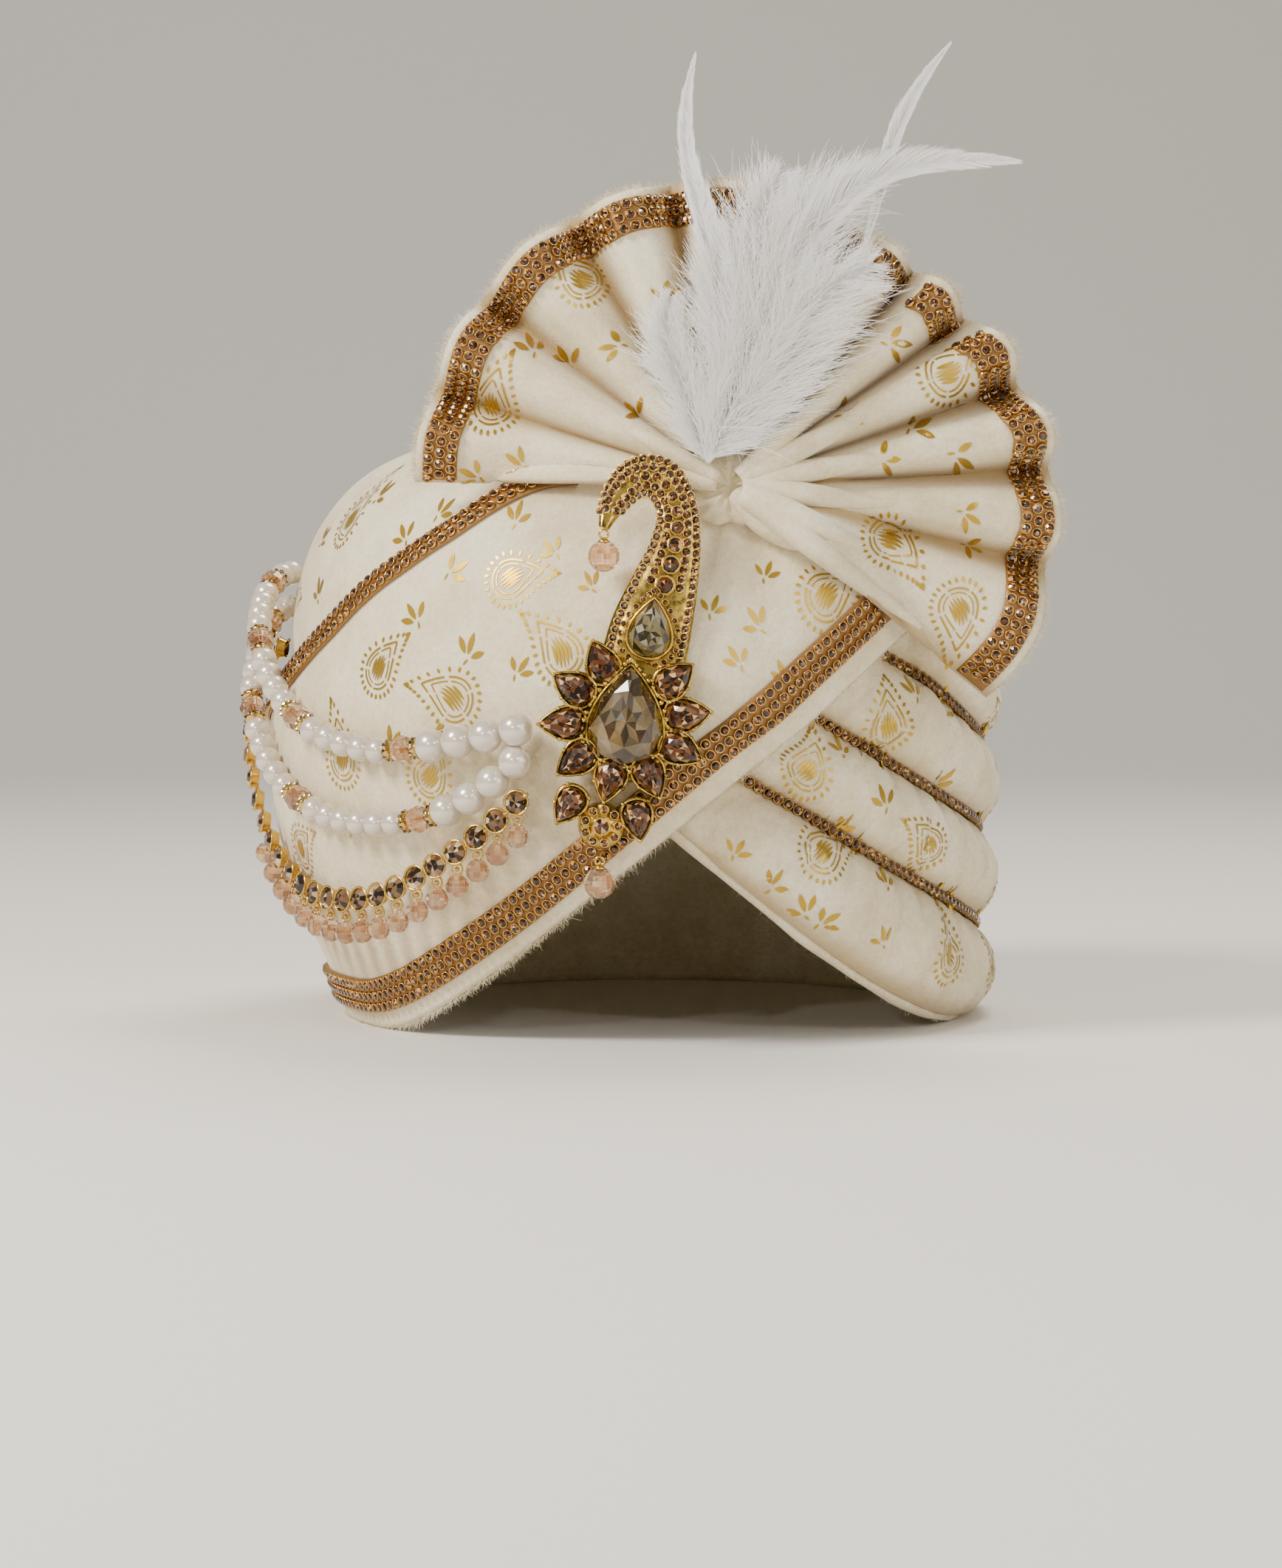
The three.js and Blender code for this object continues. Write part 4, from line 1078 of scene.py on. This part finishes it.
# Chains in the grooves between the rolls.
for number in range(1, ROLLS):
    crossing = float(hem_crossing(lambda angle: seam(number, angle)))

    def chain(angle, height_past):
        padding = roll_height(angle - crossing, angle) - ROLL_SIDE
        lift = ROLL_SEAT + ROLL_SIDE + 0.55 * padding - 0.7
        return on_crown(angle, seam(number, angle) + height_past, lift)

    values = paced(lambda t: chain(t, 0.0), crossing - 1.5, CHAIN_END, CHAIN_PITCH, 1.5)
    places = seats(chain, values, np.zeros_like(values), CHAIN_STONE)
    copies(f"groove chain {number}", chaton(), places, [BRONZE, TOPAZ], [f"groove_chain_{number}"])


# Bead strings.
def ball(radius, columns, rows, smooth=True):
    """A ball with its facets in a fixed order, so that each has the same shade every time."""
    made = bmesh.new()
    bmesh.ops.create_uvsphere(made, u_segments=columns, v_segments=rows, radius=radius)
    made.verts.sort(key=lambda vert: vert.co.dot(FACET_ORDER))
    made.faces.sort(key=lambda face: face.calc_center_median().dot(FACET_ORDER))
    return paint(made, 0, smooth)


def cut_bead(radius, columns=10, rows=6):
    """A faceted bead whose hole runs along Z."""
    return ball(radius, columns, rows, smooth=False)


def rondelle():
    """A gold ring with a row of stones round it; its hole runs along Z."""
    made = paint(cone(20, 2.7, 2.7, 1.5), 0)
    for turn in np.arange(10) * 2 * np.pi / 10:
        stone = moved(ball(0.68, 6, 4), 2.65 * np.cos(turn), 2.65 * np.sin(turn), 0)
        join(made, paint(stone, 1, smooth=False))
    return made


def string_beads(name, node, route, pattern):
    line, length = through([on_crown(*row) for row in route])
    beads = []
    for letter in pattern:
        beads += CAPPED_CRYSTAL if letter == "c" else [letter]
    total = sum(BEAD_LENGTHS[b] for b in beads)
    middles, passed = {bead: [] for bead in BEAD_LENGTHS}, 0
    for bead in beads:
        middles[bead].append((passed + BEAD_LENGTHS[bead] / 2) / total)
        passed += BEAD_LENGTHS[bead]
    radius = {bead: size / 2 * length / total for bead, size in BEAD_LENGTHS.items()}
    shapes = {
        "P": (ball(radius["P"], 24, 14), [PEARL], "pearl"),
        "p": (ball(radius["p"], 24, 14), [PEARL], "pearl"),
        "cap": (rondelle(), [GOLD, SMOKE], "gold"),
        "crystal": (cut_bead(radius["crystal"]), [BLUSH], "blush"),
    }
    for bead, (shape, finishes, slot) in shapes.items():
        at, way = along_line(line, middles[bead])
        places = frames(at, np.cross(way, (0.3, 0.5, 0.8)), way)
        copies(f"{name} {BEAD_WORDS[bead]}", shape, places, finishes, [node])
    build(f"{name} thread", paint(tube(line[::6], 0.35, 6), 0), [GOLD], [node])


string_beads("upper string", "upper_pearls", UPPER_STRING, UPPER_BEADS)
string_beads("lower string", "lower_pearls", LOWER_STRING, LOWER_BEADS)


# Crystal fringe: stone cups on a wire, most with a bead on a loop under them.
def ring_wire(radius, wire, columns=14, sides=6):
    turns = np.linspace(0, 2 * np.pi, columns, endpoint=False)
    path = np.stack([radius * np.cos(turns), 0 * turns, radius * np.sin(turns)], 1)
    spins = np.linspace(0, 2 * np.pi, sides, endpoint=False)
    outward = path[:, None] / radius * np.cos(spins)[:, None]
    outward = outward + np.array((0, 1, 0)) * np.sin(spins)[:, None]
    rings = path[:, None] + wire * outward
    return loft(np.concatenate([rings, rings[:1]]), caps=False)


def fringe_cup():
    cup = moved(cone(14, 2.3, 3.1, 2.2, caps=False), 0, 0, 0.2)
    rim = moved(placed(ring_wire(3.0, 0.32, 14, 5), Matrix.Rotation(math.pi / 2, 4, "X")), 0, 0, 1.3)
    stone = moved(cone(10, 2.75, 1.5, 1.1), 0, 0, 1.75)
    bmesh.ops.poke(stone, faces=[f for f in stone.faces if f.normal.z > 0.9])
    return join(paint(cup, 0), paint(rim, 0), paint(stone, 1, smooth=False))


line, length = through([on_crown(*row) for row in FRINGE_ROUTE])
count = int(length / FRINGE_PITCH)
at, way = along_line(line, (np.arange(count) + 0.5) / count)
outward = (at - (FULL_SHIFT, 0, 0)) * (1, 1, 0) + (0, 0, 12)
cup_places = frames(at, way, outward, 1.12)
copies("fringe cups", fringe_cup(), cup_places, [GOLD, SMOKE], ["crystal_fringe"])
build("fringe wire", paint(tube(line[::5], 0.55, 6), 0), [GOLD], ["crystal_fringe"])
hung, facing = at[: count - FRINGE_BARE], outward[: count - FRINGE_BARE] * (1, 1, 0)
side = np.cross(UP, facing)
loops = join(paint(ring_wire(1.7, 0.3), 0), paint(ball(0.75, 8, 5), 0))
loop_places = frames(hung - (0, 0, 4.6), side, np.cross(side, unit(facing)))
copies("fringe loops", loops, loop_places, [GOLD], ["crystal_fringe"])
drop_places = frames(hung - (0, 0, FRINGE_HANG + 0.6), side, UP)
copies("fringe crystals", cut_bead(3.3), drop_places, [BLUSH], ["crystal_fringe"])


# Brooch.
def pear(length, width, count, inset=0.0):
    """Outline of a pear shape pointing up, centred on its round part."""
    turn = np.arange(count) * 2 * np.pi / count
    long, half = length - 2 * inset, width / 2 - inset
    x = -1.28 * half * np.sin(turn) * np.abs(np.sin(turn / 2)) ** 0.9
    y = long / 2 * np.cos(turn) + length / 2 - width / 2
    return np.stack([x, y], 1)


def stand(points, out):
    return np.concatenate([points, np.full((len(points), 1), float(out))], 1)


def pear_cup(length, width, low, high):
    """A pear-shaped bezel with a rounded rim and a recess."""
    profile = [
        (0.5, low),
        (0, low + 0.6),
        (0, high - 0.5),
        (0.25, high - 0.12),
        (0.55, high),
        (0.9, high - 0.25),
        (1.0, low + 0.8),
    ]
    rings = [stand(pear(length, width, 36, inset), out) for inset, out in profile]
    return paint(loft(rings), 0)


def pear_stone(length, width, height, count):
    """A pear-cut stone: rows of facets round it and a cut table."""
    girdle, star = pear(length, width, count), pear(length, width, 2 * count)[1::2]
    heart = np.array((0, (length - width) / 4))
    rings = [
        stand(lerp(heart, girdle, 0.92), 0),
        stand(girdle, height * 0.22),
        stand(lerp(heart, star, 0.8), height * 0.68),
        stand(lerp(heart, girdle, 0.58), height),
        stand(lerp(heart, star, 0.3), height * 0.98),
    ]
    made = loft(rings)
    bmesh.ops.poke(made, faces=[f for f in made.faces if len(f.verts) > 4])
    bmesh.ops.triangulate(made, faces=[f for f in made.faces if len(f.verts) == 4])
    return paint(made, 0, smooth=False)


def set_at(x, y, z, tilt):
    turn = Matrix.Rotation(-math.radians(tilt), 4, "Y") @ Matrix.Rotation(math.pi / 2, 4, "X")
    return Matrix.Translation((x, y, z)) @ turn


def petal_place(bearing, reach, y):
    turn = math.radians(bearing)
    return set_at(BROOCH_X + reach * math.cos(turn), y, BROOCH_Z + reach * math.sin(turn), bearing - 90)


def claws(length, width):
    """Five places round a petal where a claw holds its stone."""
    upper, lower = 0.4 * width, 0.37 * width
    return [(-upper, 2.8), (upper, 2.8), (-lower, -3.2), (lower, -3.2), (0, length - width / 2 - 0.6)]


plate = cone(48, PLATE_RADIUS, PLATE_RADIUS - 0.8, PLATE_DEPTH)
setting = placed(paint(plate, 0), set_at(BROOCH_X, BROOCH_Y - PLATE_DEPTH / 2, BROOCH_Z, 0))
for bearing, reach, length, width in PETALS:
    place = petal_place(bearing, reach, BROOCH_Y)
    join(setting, placed(pear_cup(length, width, 0, CUP_DEPTH), place))
    for x, y in claws(length, width):
        join(setting, placed(ball(0.62, 8, 6), place @ Matrix.Translation((x, y, CUP_DEPTH + 0.1))))
middle_x, middle_z, middle_length, middle_width, middle_tilt = MIDDLE_STONE
cup = pear_cup(middle_length, middle_width, 0, MIDDLE_CUP_DEPTH)
join(setting, placed(cup, set_at(middle_x, BROOCH_Y, middle_z, middle_tilt)))
rim_place = set_at(middle_x, BROOCH_Y - 5.0, middle_z, middle_tilt)
for x, y in pear(middle_length + 1.4, middle_width + 1.4, 44):
    join(setting, placed(ball(0.8, 8, 5), rim_place @ Matrix.Translation((x, y, 0))))
foot = cone(28, FOOT_RADIUS, FOOT_RADIUS - 0.7, FOOT_DEPTH)
join(setting, placed(paint(foot, 0), set_at(FOOT_X, BROOCH_Y - FOOT_DEPTH / 2, FOOT_Z, 0)))

# The brooch's neck, a domed band that bends over into a beak.
neck_rows = [(i, *row) for i, row in enumerate(NECK)]
neck_x, neck_z, neck_half, neck_out = (column(neck_rows, i) for i in (1, 2, 3, 4))


def neck_dome(side):
    return NECK_THICK + NECK_DOME * (1 - side**4)


def neck_surface(place, side, out):
    x, z = neck_x(place), neck_z(place)
    way_x = neck_x(place + 0.02) - neck_x(place - 0.02)
    way_z = neck_z(place + 0.02) - neck_z(place - 0.02)
    length = np.maximum(np.hypot(way_x, way_z), 1e-6)
    half = neck_half(place)
    back = np.maximum(BROOCH_Y, front_of(x, z, NECK_LIFT)) - neck_out(place)
    return np.stack([x - way_z / length * half * side, back - out, z + way_x / length * half * side], -1)


face, back = np.linspace(-1, 1, NECK_FACE), np.linspace(0.9, -0.9, NECK_BACK)
sides, rise = np.r_[face, back], np.r_[neck_dome(face), 0 * back]
neck_places = np.linspace(0, len(NECK) - 1.03, NECK_RINGS)
rings = [neck_surface(np.full_like(sides, place), sides, rise) for place in neck_places]
join(setting, paint(loft(rings), 0))
build("brooch setting", setting, [BROOCH_GOLD], ["brooch_setting"])

pave = []
for side, size, low, high in PAVE_ROWS:
    dome = neck_dome(side)
    pitch = PAVE_PITCH * size
    values = paced(lambda t: neck_surface(t, np.full_like(t, side), dome), low, high, pitch, 1.0)
    at = neck_surface(values, np.full_like(values, side), dome - 0.05)
    way = neck_surface(values + 0.05, np.full_like(values, side), dome - 0.05) - at
    pave.append(frames(at, way, TILTED_FRONT + (0.35 * side, 0, 0), size))
places, sizes = np.array(PAVE_MIDDLE).T
pave.append(frames(neck_surface(places, 0 * places, 3.25), RIGHT, TILTED_FRONT, sizes))
neck_stone_x, neck_stone_z, neck_length, neck_width, neck_tilt = NECK_STONE
foremost = float(np.maximum(BROOCH_Y, front_of(neck_stone_x, neck_stone_z - neck_width / 2, NECK_LIFT)))
cup_place = set_at(neck_stone_x, foremost, neck_stone_z, neck_tilt)
around = stand(pear(neck_length + 4.4, neck_width + 4.0, 24), 3.0)
pave.append(frames(np.array([(cup_place @ Vector(p))[:] for p in around]), RIGHT, FRONT, 0.6))
for radius, count, size in ((4.6, 9, 0.85), (0, 1, 1.7)):
    turns = np.arange(count) * 2 * np.pi / count
    ring = np.stack([radius * np.cos(turns), 0 * turns, radius * np.sin(turns)], 1)
    pave.append(frames(ring + (FOOT_X, BROOCH_Y - FOOT_DEPTH, FOOT_Z), RIGHT, FRONT, size))
copies("brooch small stones", chaton(), np.concatenate(pave), [GOLD, TOPAZ])

for number, (bearing, reach, length, width) in enumerate(PETALS, 1):
    stone = placed(pear_stone(length - 1.9, width - 1.9, 2.9, 12), petal_place(bearing, reach, STONE_SEAT))
    build(f"petal stone {number}", stone, [TOPAZ], [f"petal_stone_{number}"])
stone = pear_stone(middle_length - 2.4, middle_width - 2.4, 5.6, 10)
placed(stone, set_at(middle_x, STONE_SEAT, middle_z, middle_tilt))
build("middle stone", stone, [CHAMPAGNE], ["middle_stone"])
cup = placed(pear_cup(neck_length + 1.6, neck_width + 1.6, 2.0, 4.4), cup_place)
build("neck stone cup", cup, [GOLD])
stone = pear_stone(neck_length - 0.6, neck_width - 0.6, 3.4, 10)
placed(stone, set_at(neck_stone_x, foremost - 3.6, neck_stone_z, neck_tilt))
build("neck stone", stone, [LEMON], ["neck_stone"])

for name, node, at in (("beak drop", "beak_drop", BEAK_DROP), ("foot drop", "foot_drop", FOOT_DROP)):
    bead = cut_bead(DROP_RADIUS, 14, 9)
    cap = moved(paint(cone(12, 2.2, 0.7, 1.3), 1), 0, 0, DROP_RADIUS - 0.1)
    loop = moved(paint(ring_wire(1.2, 0.34), 1), 0, 0, DROP_RADIUS + 1.6)
    build(name, moved(join(bead, cap, loop), *at), [BLUSH, GOLD], [node])


# Plume.
def shaft_of(tip_x, tip_y, tip_z, bow):
    """A shaft from the plume's root to its tip, bowed aside."""
    along = np.linspace(0, 1, 60)[:, None]
    length = math.hypot(tip_x, tip_z)
    aside = np.array((tip_z / length, 0, -tip_x / length))
    sway = bow * np.sin(np.pi * along) + 0.035 * length * np.sin(2 * np.pi * along**1.3)
    return PLUME_ROOT + np.array((tip_x, tip_y, tip_z)) * along + sway * aside


def barbs_of(line, half, bare, downy):
    """Fine barbs off both sides of a shaft, swept along it and parted into wisps."""
    if downy:
        count, wisps, parting, fluff, stray_by = 2300, 26, 0.2, 0.5, 0.28
        spread_from, spread_to, turned, droop, thick = 0.5, 1.1, 0.2, 0.22, 0.13
    else:
        count, wisps, parting, fluff, stray_by = 1700, 34, 0.05, 0.1, 0.025
        spread_from, spread_to, turned, droop, thick = 0.34, 0.46, 0.05, 0, 0.12
    place = np.sort(rng.uniform(bare, 0.99, count))
    at, way = along_line(line, place)
    side = np.where(rng.random(count) < 0.5, -1.0, 1.0)[:, None]
    if downy:
        taper = np.sin(np.pi * lerp(0.16, 0.985, place)) ** 0.6
    else:
        taper = 1.5 * smoothstep(place, bare - 0.08, bare + 0.3) * (1 - place) ** 0.75
    long = rng.uniform(0.75, 1.3, count) * np.where(rng.random(count) < 0.1, 1.35, 1.0)
    length = (half * taper * (long * 2.1 if downy else 2.7 * long**0.4))[:, None, None]
    across = unit(np.cross(way, (0, 1.0, 0))) * side
    wisp = (place * wisps).astype(int) * 2 + (side[:, 0] > 0)
    apart = rng.normal(0, parting, (wisp.max() + 1, 3))[wisp]
    lift = np.stack([0 * place, rng.normal(-0.1, fluff, count), 0 * place], 1)
    spread = rng.uniform(spread_from, spread_to, (count, 1))
    start = unit(across * spread + lift + 0.75 * way)
    stray = rng.normal(0, stray_by, (count, 3))
    finish = unit(across * turned + 0.7 * lift + way + stray + apart - (0, 0, droop))
    steps = np.linspace(0, 1, 7)[None, :, None]
    path = at[:, None] + length * (start[:, None] * (steps - steps**2 / 2) + finish[:, None] * steps**2 / 2)
    width = thick * (1 - 0.8 * steps)
    flat = unit(np.cross(finish, (0, 1.0, 0.3)))[:, None]
    return path - flat * width, path + flat * width


quills = []
tufts_of = {"plume hackles": [], "plume down": []}
for name, rows, downy in (("plume hackles", HACKLES, False), ("plume down", DOWN, True)):
    for tip_x, tip_y, tip_z, bow, half, bare in rows:
        line = shaft_of(tip_x, tip_y, tip_z, bow)
        quills.append(tube(line[::3], np.linspace(0.55, 0.1, 20), 6))
        tufts_of[name].append(barbs_of(line, half, bare, downy))
for name, tufts in tufts_of.items():
    ribbons(name, *(np.concatenate(edge) for edge in zip(*tufts)), FEATHER, "feather", ["plume"])
build("plume quills", paint(join(*quills), 0), [FEATHER], ["plume"])


# Foil motifs printed on the velvet.
STROKE_POINTS = 9
LEAF = np.sin(np.pi * np.linspace(0.02, 0.98, STROKE_POINTS)) ** 0.8


def stroke(points, width):
    """A strip in the motif's plane, with one width or a width for each of its points."""
    points = np.asarray(points, float)
    run = run_of(points)
    even = np.linspace(0, run[-1], STROKE_POINTS)
    middle = read_rows(even, run, points)
    way = unit(np.gradient(middle, axis=0))
    edge = np.stack([-way[:, 1], way[:, 0]], 1) * (np.broadcast_to(width, STROKE_POINTS) / 2)[:, None]
    return np.stack([middle - edge, middle + edge])


def leaf(x, y, bearing, length, width):
    way = np.array((math.cos(math.radians(bearing)), math.sin(math.radians(bearing))))
    return stroke(np.array((x, y)) + np.linspace(0, length, STROKE_POINTS)[:, None] * way, width * LEAF)


def bend(points, hand):
    """Leans the upper part of a motif over to one hand."""
    lean = np.clip(points[:, 1:] / 9, 0, 2) ** 2 * 4.2 * hand
    return points + np.concatenate([lean, 0 * lean], 1)


def paisley(size, hand):
    """A ring of dashes, a stitched outline and a filled heart."""
    strokes = []
    outline = bend(pear(size, size * 0.7, 120), hand)
    middle = np.array((0, size * 0.08))
    for i in range(30):
        at = outline[i * 4]
        way = unit(at - middle)
        bearing = math.degrees(math.atan2(way[1], way[0]))
        strokes.append(leaf(*(at - 0.3 * way), bearing, 1.5, 0.85))
    for scale, width in ((0.76, 0.5), (0.58, 0.34)):
        inner = np.vstack([bend(pear(size * scale, size * 0.7 * scale, 48), hand)] * 2)
        strokes += [stroke(inner[i : i + 8], width) for i in range(0, 48, 8)]
    for aside in np.linspace(-0.1, 0.1, 5):
        tall = size * 0.2 * math.sqrt(1 - (aside / 0.13) ** 2)
        reach = np.linspace(-0.8 * tall, 1.2 * tall, STROKE_POINTS)
        points = np.stack([aside * size + 0 * reach, reach], 1)
        strokes.append(stroke(bend(points, hand), 0.044 * size * LEAF))
    return strokes


def sprig(size, hand):
    """Three separate slim leaves that spread from one spot, and a stalk."""
    strokes = []
    for lean, near, length in ((8, 0.14, 0.62), (50, 0.16, 0.52), (-46, 0.18, 0.46)):
        bearing = 90 + lean * hand
        turn = math.radians(bearing)
        start = (size * near * math.cos(turn), size * near * math.sin(turn) - size * 0.3)
        strokes.append(leaf(*start, bearing + 6 * hand, size * length, size * 0.19))
    strokes.append(leaf(0, -size * 0.5, 90 - 15 * hand, size * 0.24, 0.6))
    return strokes


def cling(points, normals, tree, depth):
    """Drops points onto the swollen cloth along their normals."""
    flat_points, flat_normals = points.reshape(-1, 3), normals.reshape(-1, 3)
    dropped = []
    for point, normal in zip(flat_points, flat_normals):
        hit = tree.ray_cast(Vector(point + 7 * normal), Vector(-normal), depth)[0]
        dropped.append(point if hit is None else hit[:])
    return np.array(dropped).reshape(points.shape)


def apart(spot, other, polar):
    """Distance between two motifs, in millimetres."""
    mm_per_degree = other[1] / 57 if polar else 1.92
    return math.hypot((spot[0] - other[0]) * mm_per_degree, spot[1] - other[1])


def printed(name, surface, paisleys, sprigs, polar=False, tree=None, depth=14):
    """Foil motifs on a surface, each turned and sized a little differently."""
    strips = []
    clear = [s for s in sprigs if all(apart(s, p, polar) > CLEAR_OF_PAISLEY for p in paisleys)]
    kinds = [(at, paisley, PAISLEY_SIZE) for at in paisleys] + [(at, sprig, SPRIG_SIZE) for at in clear]
    for at, motif, sizes in kinds:
        hand = rng.choice((-1.0, 1.0))
        size = rng.uniform(*sizes)
        tilt = math.radians(rng.uniform(-MOTIF_TILT, MOTIF_TILT))
        turn = np.array(((math.cos(tilt), -math.sin(tilt)), (math.sin(tilt), math.cos(tilt))))
        flat = np.array(motif(size, hand)) @ turn.T
        per_mm = 180 / np.pi / (at[1] if polar else PRINT_RADIUS)
        here, _, normal = outer_side(surface, at[0] + flat[..., 0] * per_mm, at[1] + flat[..., 1])
        here = here if tree is None else cling(here, normal, tree, depth)
        strips.append(here + normal * (FAN_FOIL_OUT if polar else FOIL_OUT))
    strips = np.concatenate(strips)
    ribbons(name, strips[:, 0], strips[:, 1], FOIL, "velvet")


def over_crown(across, along):
    """A level sheet above the crown: degrees of the print across, millimetres along."""
    x = FULL_SHIFT + PRINT_RADIUS * np.radians(across)
    return np.stack(np.broadcast_arrays(x, along, TOP + 2.0), -1)


def round_the_back(low, high, bottom, top):
    """Staggered places for motifs on the sides that face away, each a little off."""
    spots = []
    for row, height in enumerate(np.arange(bottom, top, 21.0)):
        for angle in np.arange(low + 5 * (row % 2), high, 11.0):
            spots.append((angle + rng.uniform(-2, 2), height + rng.uniform(-3, 3)))
    return spots


def on_the_top():
    """Places for motifs in rings on top of the crown."""
    spots = []
    for ring, count in CROWN_RINGS:
        for turn in (np.arange(count) + rng.uniform(-0.15, 0.15, count)) * 2 * np.pi / count:
            across = math.degrees(ring * math.cos(turn) / PRINT_RADIUS)
            spots.append((across, 8 + 1.1 * ring * math.sin(turn)))
    return spots


def others(spots):
    """The sprigs' places: all but every third, which has a paisley."""
    return [spot for i, spot in enumerate(spots) if i % 3]


back = round_the_back(-182, -62, 28, 80)
printed("wrap foil", wrap_surface, WRAP_PAISLEYS + back[::3], WRAP_SPRIGS + others(back), tree=wrap_tree)
back = round_the_back(78, 166, 16, 92)
printed("roll foil", roll_surface, ROLL_PAISLEYS + back[::3], ROLL_SPRIGS + others(back), tree=roll_tree)
back = round_the_back(95, 280, 104, 160)
printed("crown foil", crown_surface, CROWN_PAISLEYS + back[::3], CROWN_SPRIGS + others(back))
tops = on_the_top()
printed("crown top foil", over_crown, tops[::3], others(tops), tree=crown_tree, depth=60)
printed("fan foil", fan_surface, FAN_PAISLEYS, FAN_SPRIGS, polar=True)


# Raw pile along the cut edges of the velvet.
def fringe_of_pile(name, edge, outward, count):
    """Short hairs at random places along an edge."""
    share = rng.random(count)
    root = edge(share, rng.random(count))
    way = unit(outward(root) + rng.normal(0, 0.55, (count, 3)))
    length = rng.uniform(0.8, 2.1, count)[:, None, None]
    steps = np.linspace(0, 1, 3)[None, :, None]
    curl = rng.normal(0, 0.35, (count, 3))[:, None] * steps**2
    path = root[:, None] + length * (way[:, None] * steps + curl)
    path[..., 2] = np.maximum(path[..., 2], 0.1)
    flat = unit(np.cross(way, rng.normal(0, 1, (count, 3))))[:, None] * 0.07 * (1 - 0.7 * steps)
    ribbons(name, path - flat, path + flat, VELVET, "velvet")


def wrap_edge(share, depth):
    angle = lerp(WRAP_FROM, WRAP_TO, share)
    return wrap_surface(angle, wrap_hem(angle), -2.2 * depth)


def fan_edge(share, depth):
    bearing = lerp(FAN_FROM, FAN_TO, share)
    return fan_surface(bearing, fan_reach(bearing), 1.4 * depth - 0.7)


def piping_edge(share, depth):
    return brow_edge(share, 3 * depth - 1.5)


def below(root):
    return (0, -0.35, -0.75) * (root[:, 2:] > 1.5) + 0.3 * unit(root * (1, 1, 0))


def beyond_fan(root):
    return unit((root - (FAN_X, 0, FAN_Z)) * (1, 0, 1))


fringe_of_pile("wrap hem pile", wrap_edge, below, 9000)
fringe_of_pile("brow edge pile", piping_edge, below, 3500)
fringe_of_pile("fan edge pile", fan_edge, beyond_fan, 6000)

# Bar that the strings end on.
bar = bpy.data.objects.get("string_anchor")
if bar:
    bar.data.materials.clear()
    bar.data.materials.append(GOLD)


# Floor, light and camera.
FLOOR_REACH, FLOOR_BACK, FLOOR_CURVE, WALL_HEIGHT = 5000, 1400, 900, 4000


def sweep(u, v):
    """A floor that curves up into a plain wall behind."""
    turn = np.clip((v - 0.6) / 0.2, 0, 1) * np.pi / 2
    y = lerp(-FLOOR_REACH, FLOOR_BACK, np.clip(v / 0.6, 0, 1)) + FLOOR_CURVE * np.sin(turn)
    z = FLOOR_CURVE * (1 - np.cos(turn)) + WALL_HEIGHT * np.clip((v - 0.8) / 0.2, 0, 1)
    return np.stack([lerp(-FLOOR_REACH, FLOOR_REACH, u), y, z], -1)


mesh = bpy.data.meshes.new("studio_floor")
paint(grid(8, 60, sweep), 0).to_mesh(mesh)
mesh.transform(Matrix.Scale(MM, 4))
mesh.materials.append(plain("pale floor", (0.82, 0.79, 0.74), Roughness=0.75))
floor = bpy.data.objects.new("studio_floor", mesh)
bpy.context.scene.collection.objects.link(floor)
floor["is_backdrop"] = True

world = bpy.data.worlds.new("studio")
bpy.context.scene.world = world
world.use_nodes = True
background = world.node_tree.nodes["Background"]
background.inputs["Color"].default_value = (1.0, 0.96, 0.9, 1)
background.inputs["Strength"].default_value = 0.36


def turn_to(place, target):
    return (Vector(target) - Vector(place)).to_track_quat("-Z", "Y").to_euler()


def softbox(name, place, target, size, watts):
    light = bpy.data.lights.new(name, "AREA")
    light.size = size
    light.energy = watts
    light.color = (1.0, 0.955, 0.89)
    lamp = bpy.data.objects.new(name, light)
    lamp.location = place
    lamp.rotation_euler = turn_to(place, target)
    bpy.context.scene.collection.objects.link(lamp)


softbox("key", (-1.0, -0.75, 1.05), (0, 0, 0.12), 0.45, 31)
softbox("fill", (1.0, -1.0, 0.45), (0, 0, 0.1), 0.8, 6)
softbox("top", (0.3, 0.4, 1.2), (0, 0, 0.1), 0.6, 12)
softbox("spark left", (-0.5, -1.3, 0.5), (0, 0, 0.1), 0.06, 2.5)
softbox("spark right", (0.5, -1.4, 0.7), (0, 0, 0.1), 0.06, 2.5)

view = bpy.data.cameras.new("camera")
view.lens = 116.2
view.sensor_width = 36
camera = bpy.data.objects.new("camera", view)
camera.location = (-0.00328, -1.49794, 0.14569)
camera.rotation_euler = turn_to(camera.location, (-0.00328, 0, 0.06718))
bpy.context.scene.collection.objects.link(camera)
bpy.context.scene.camera = camera

sizes = {"cad": cad_box, "visual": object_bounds()}
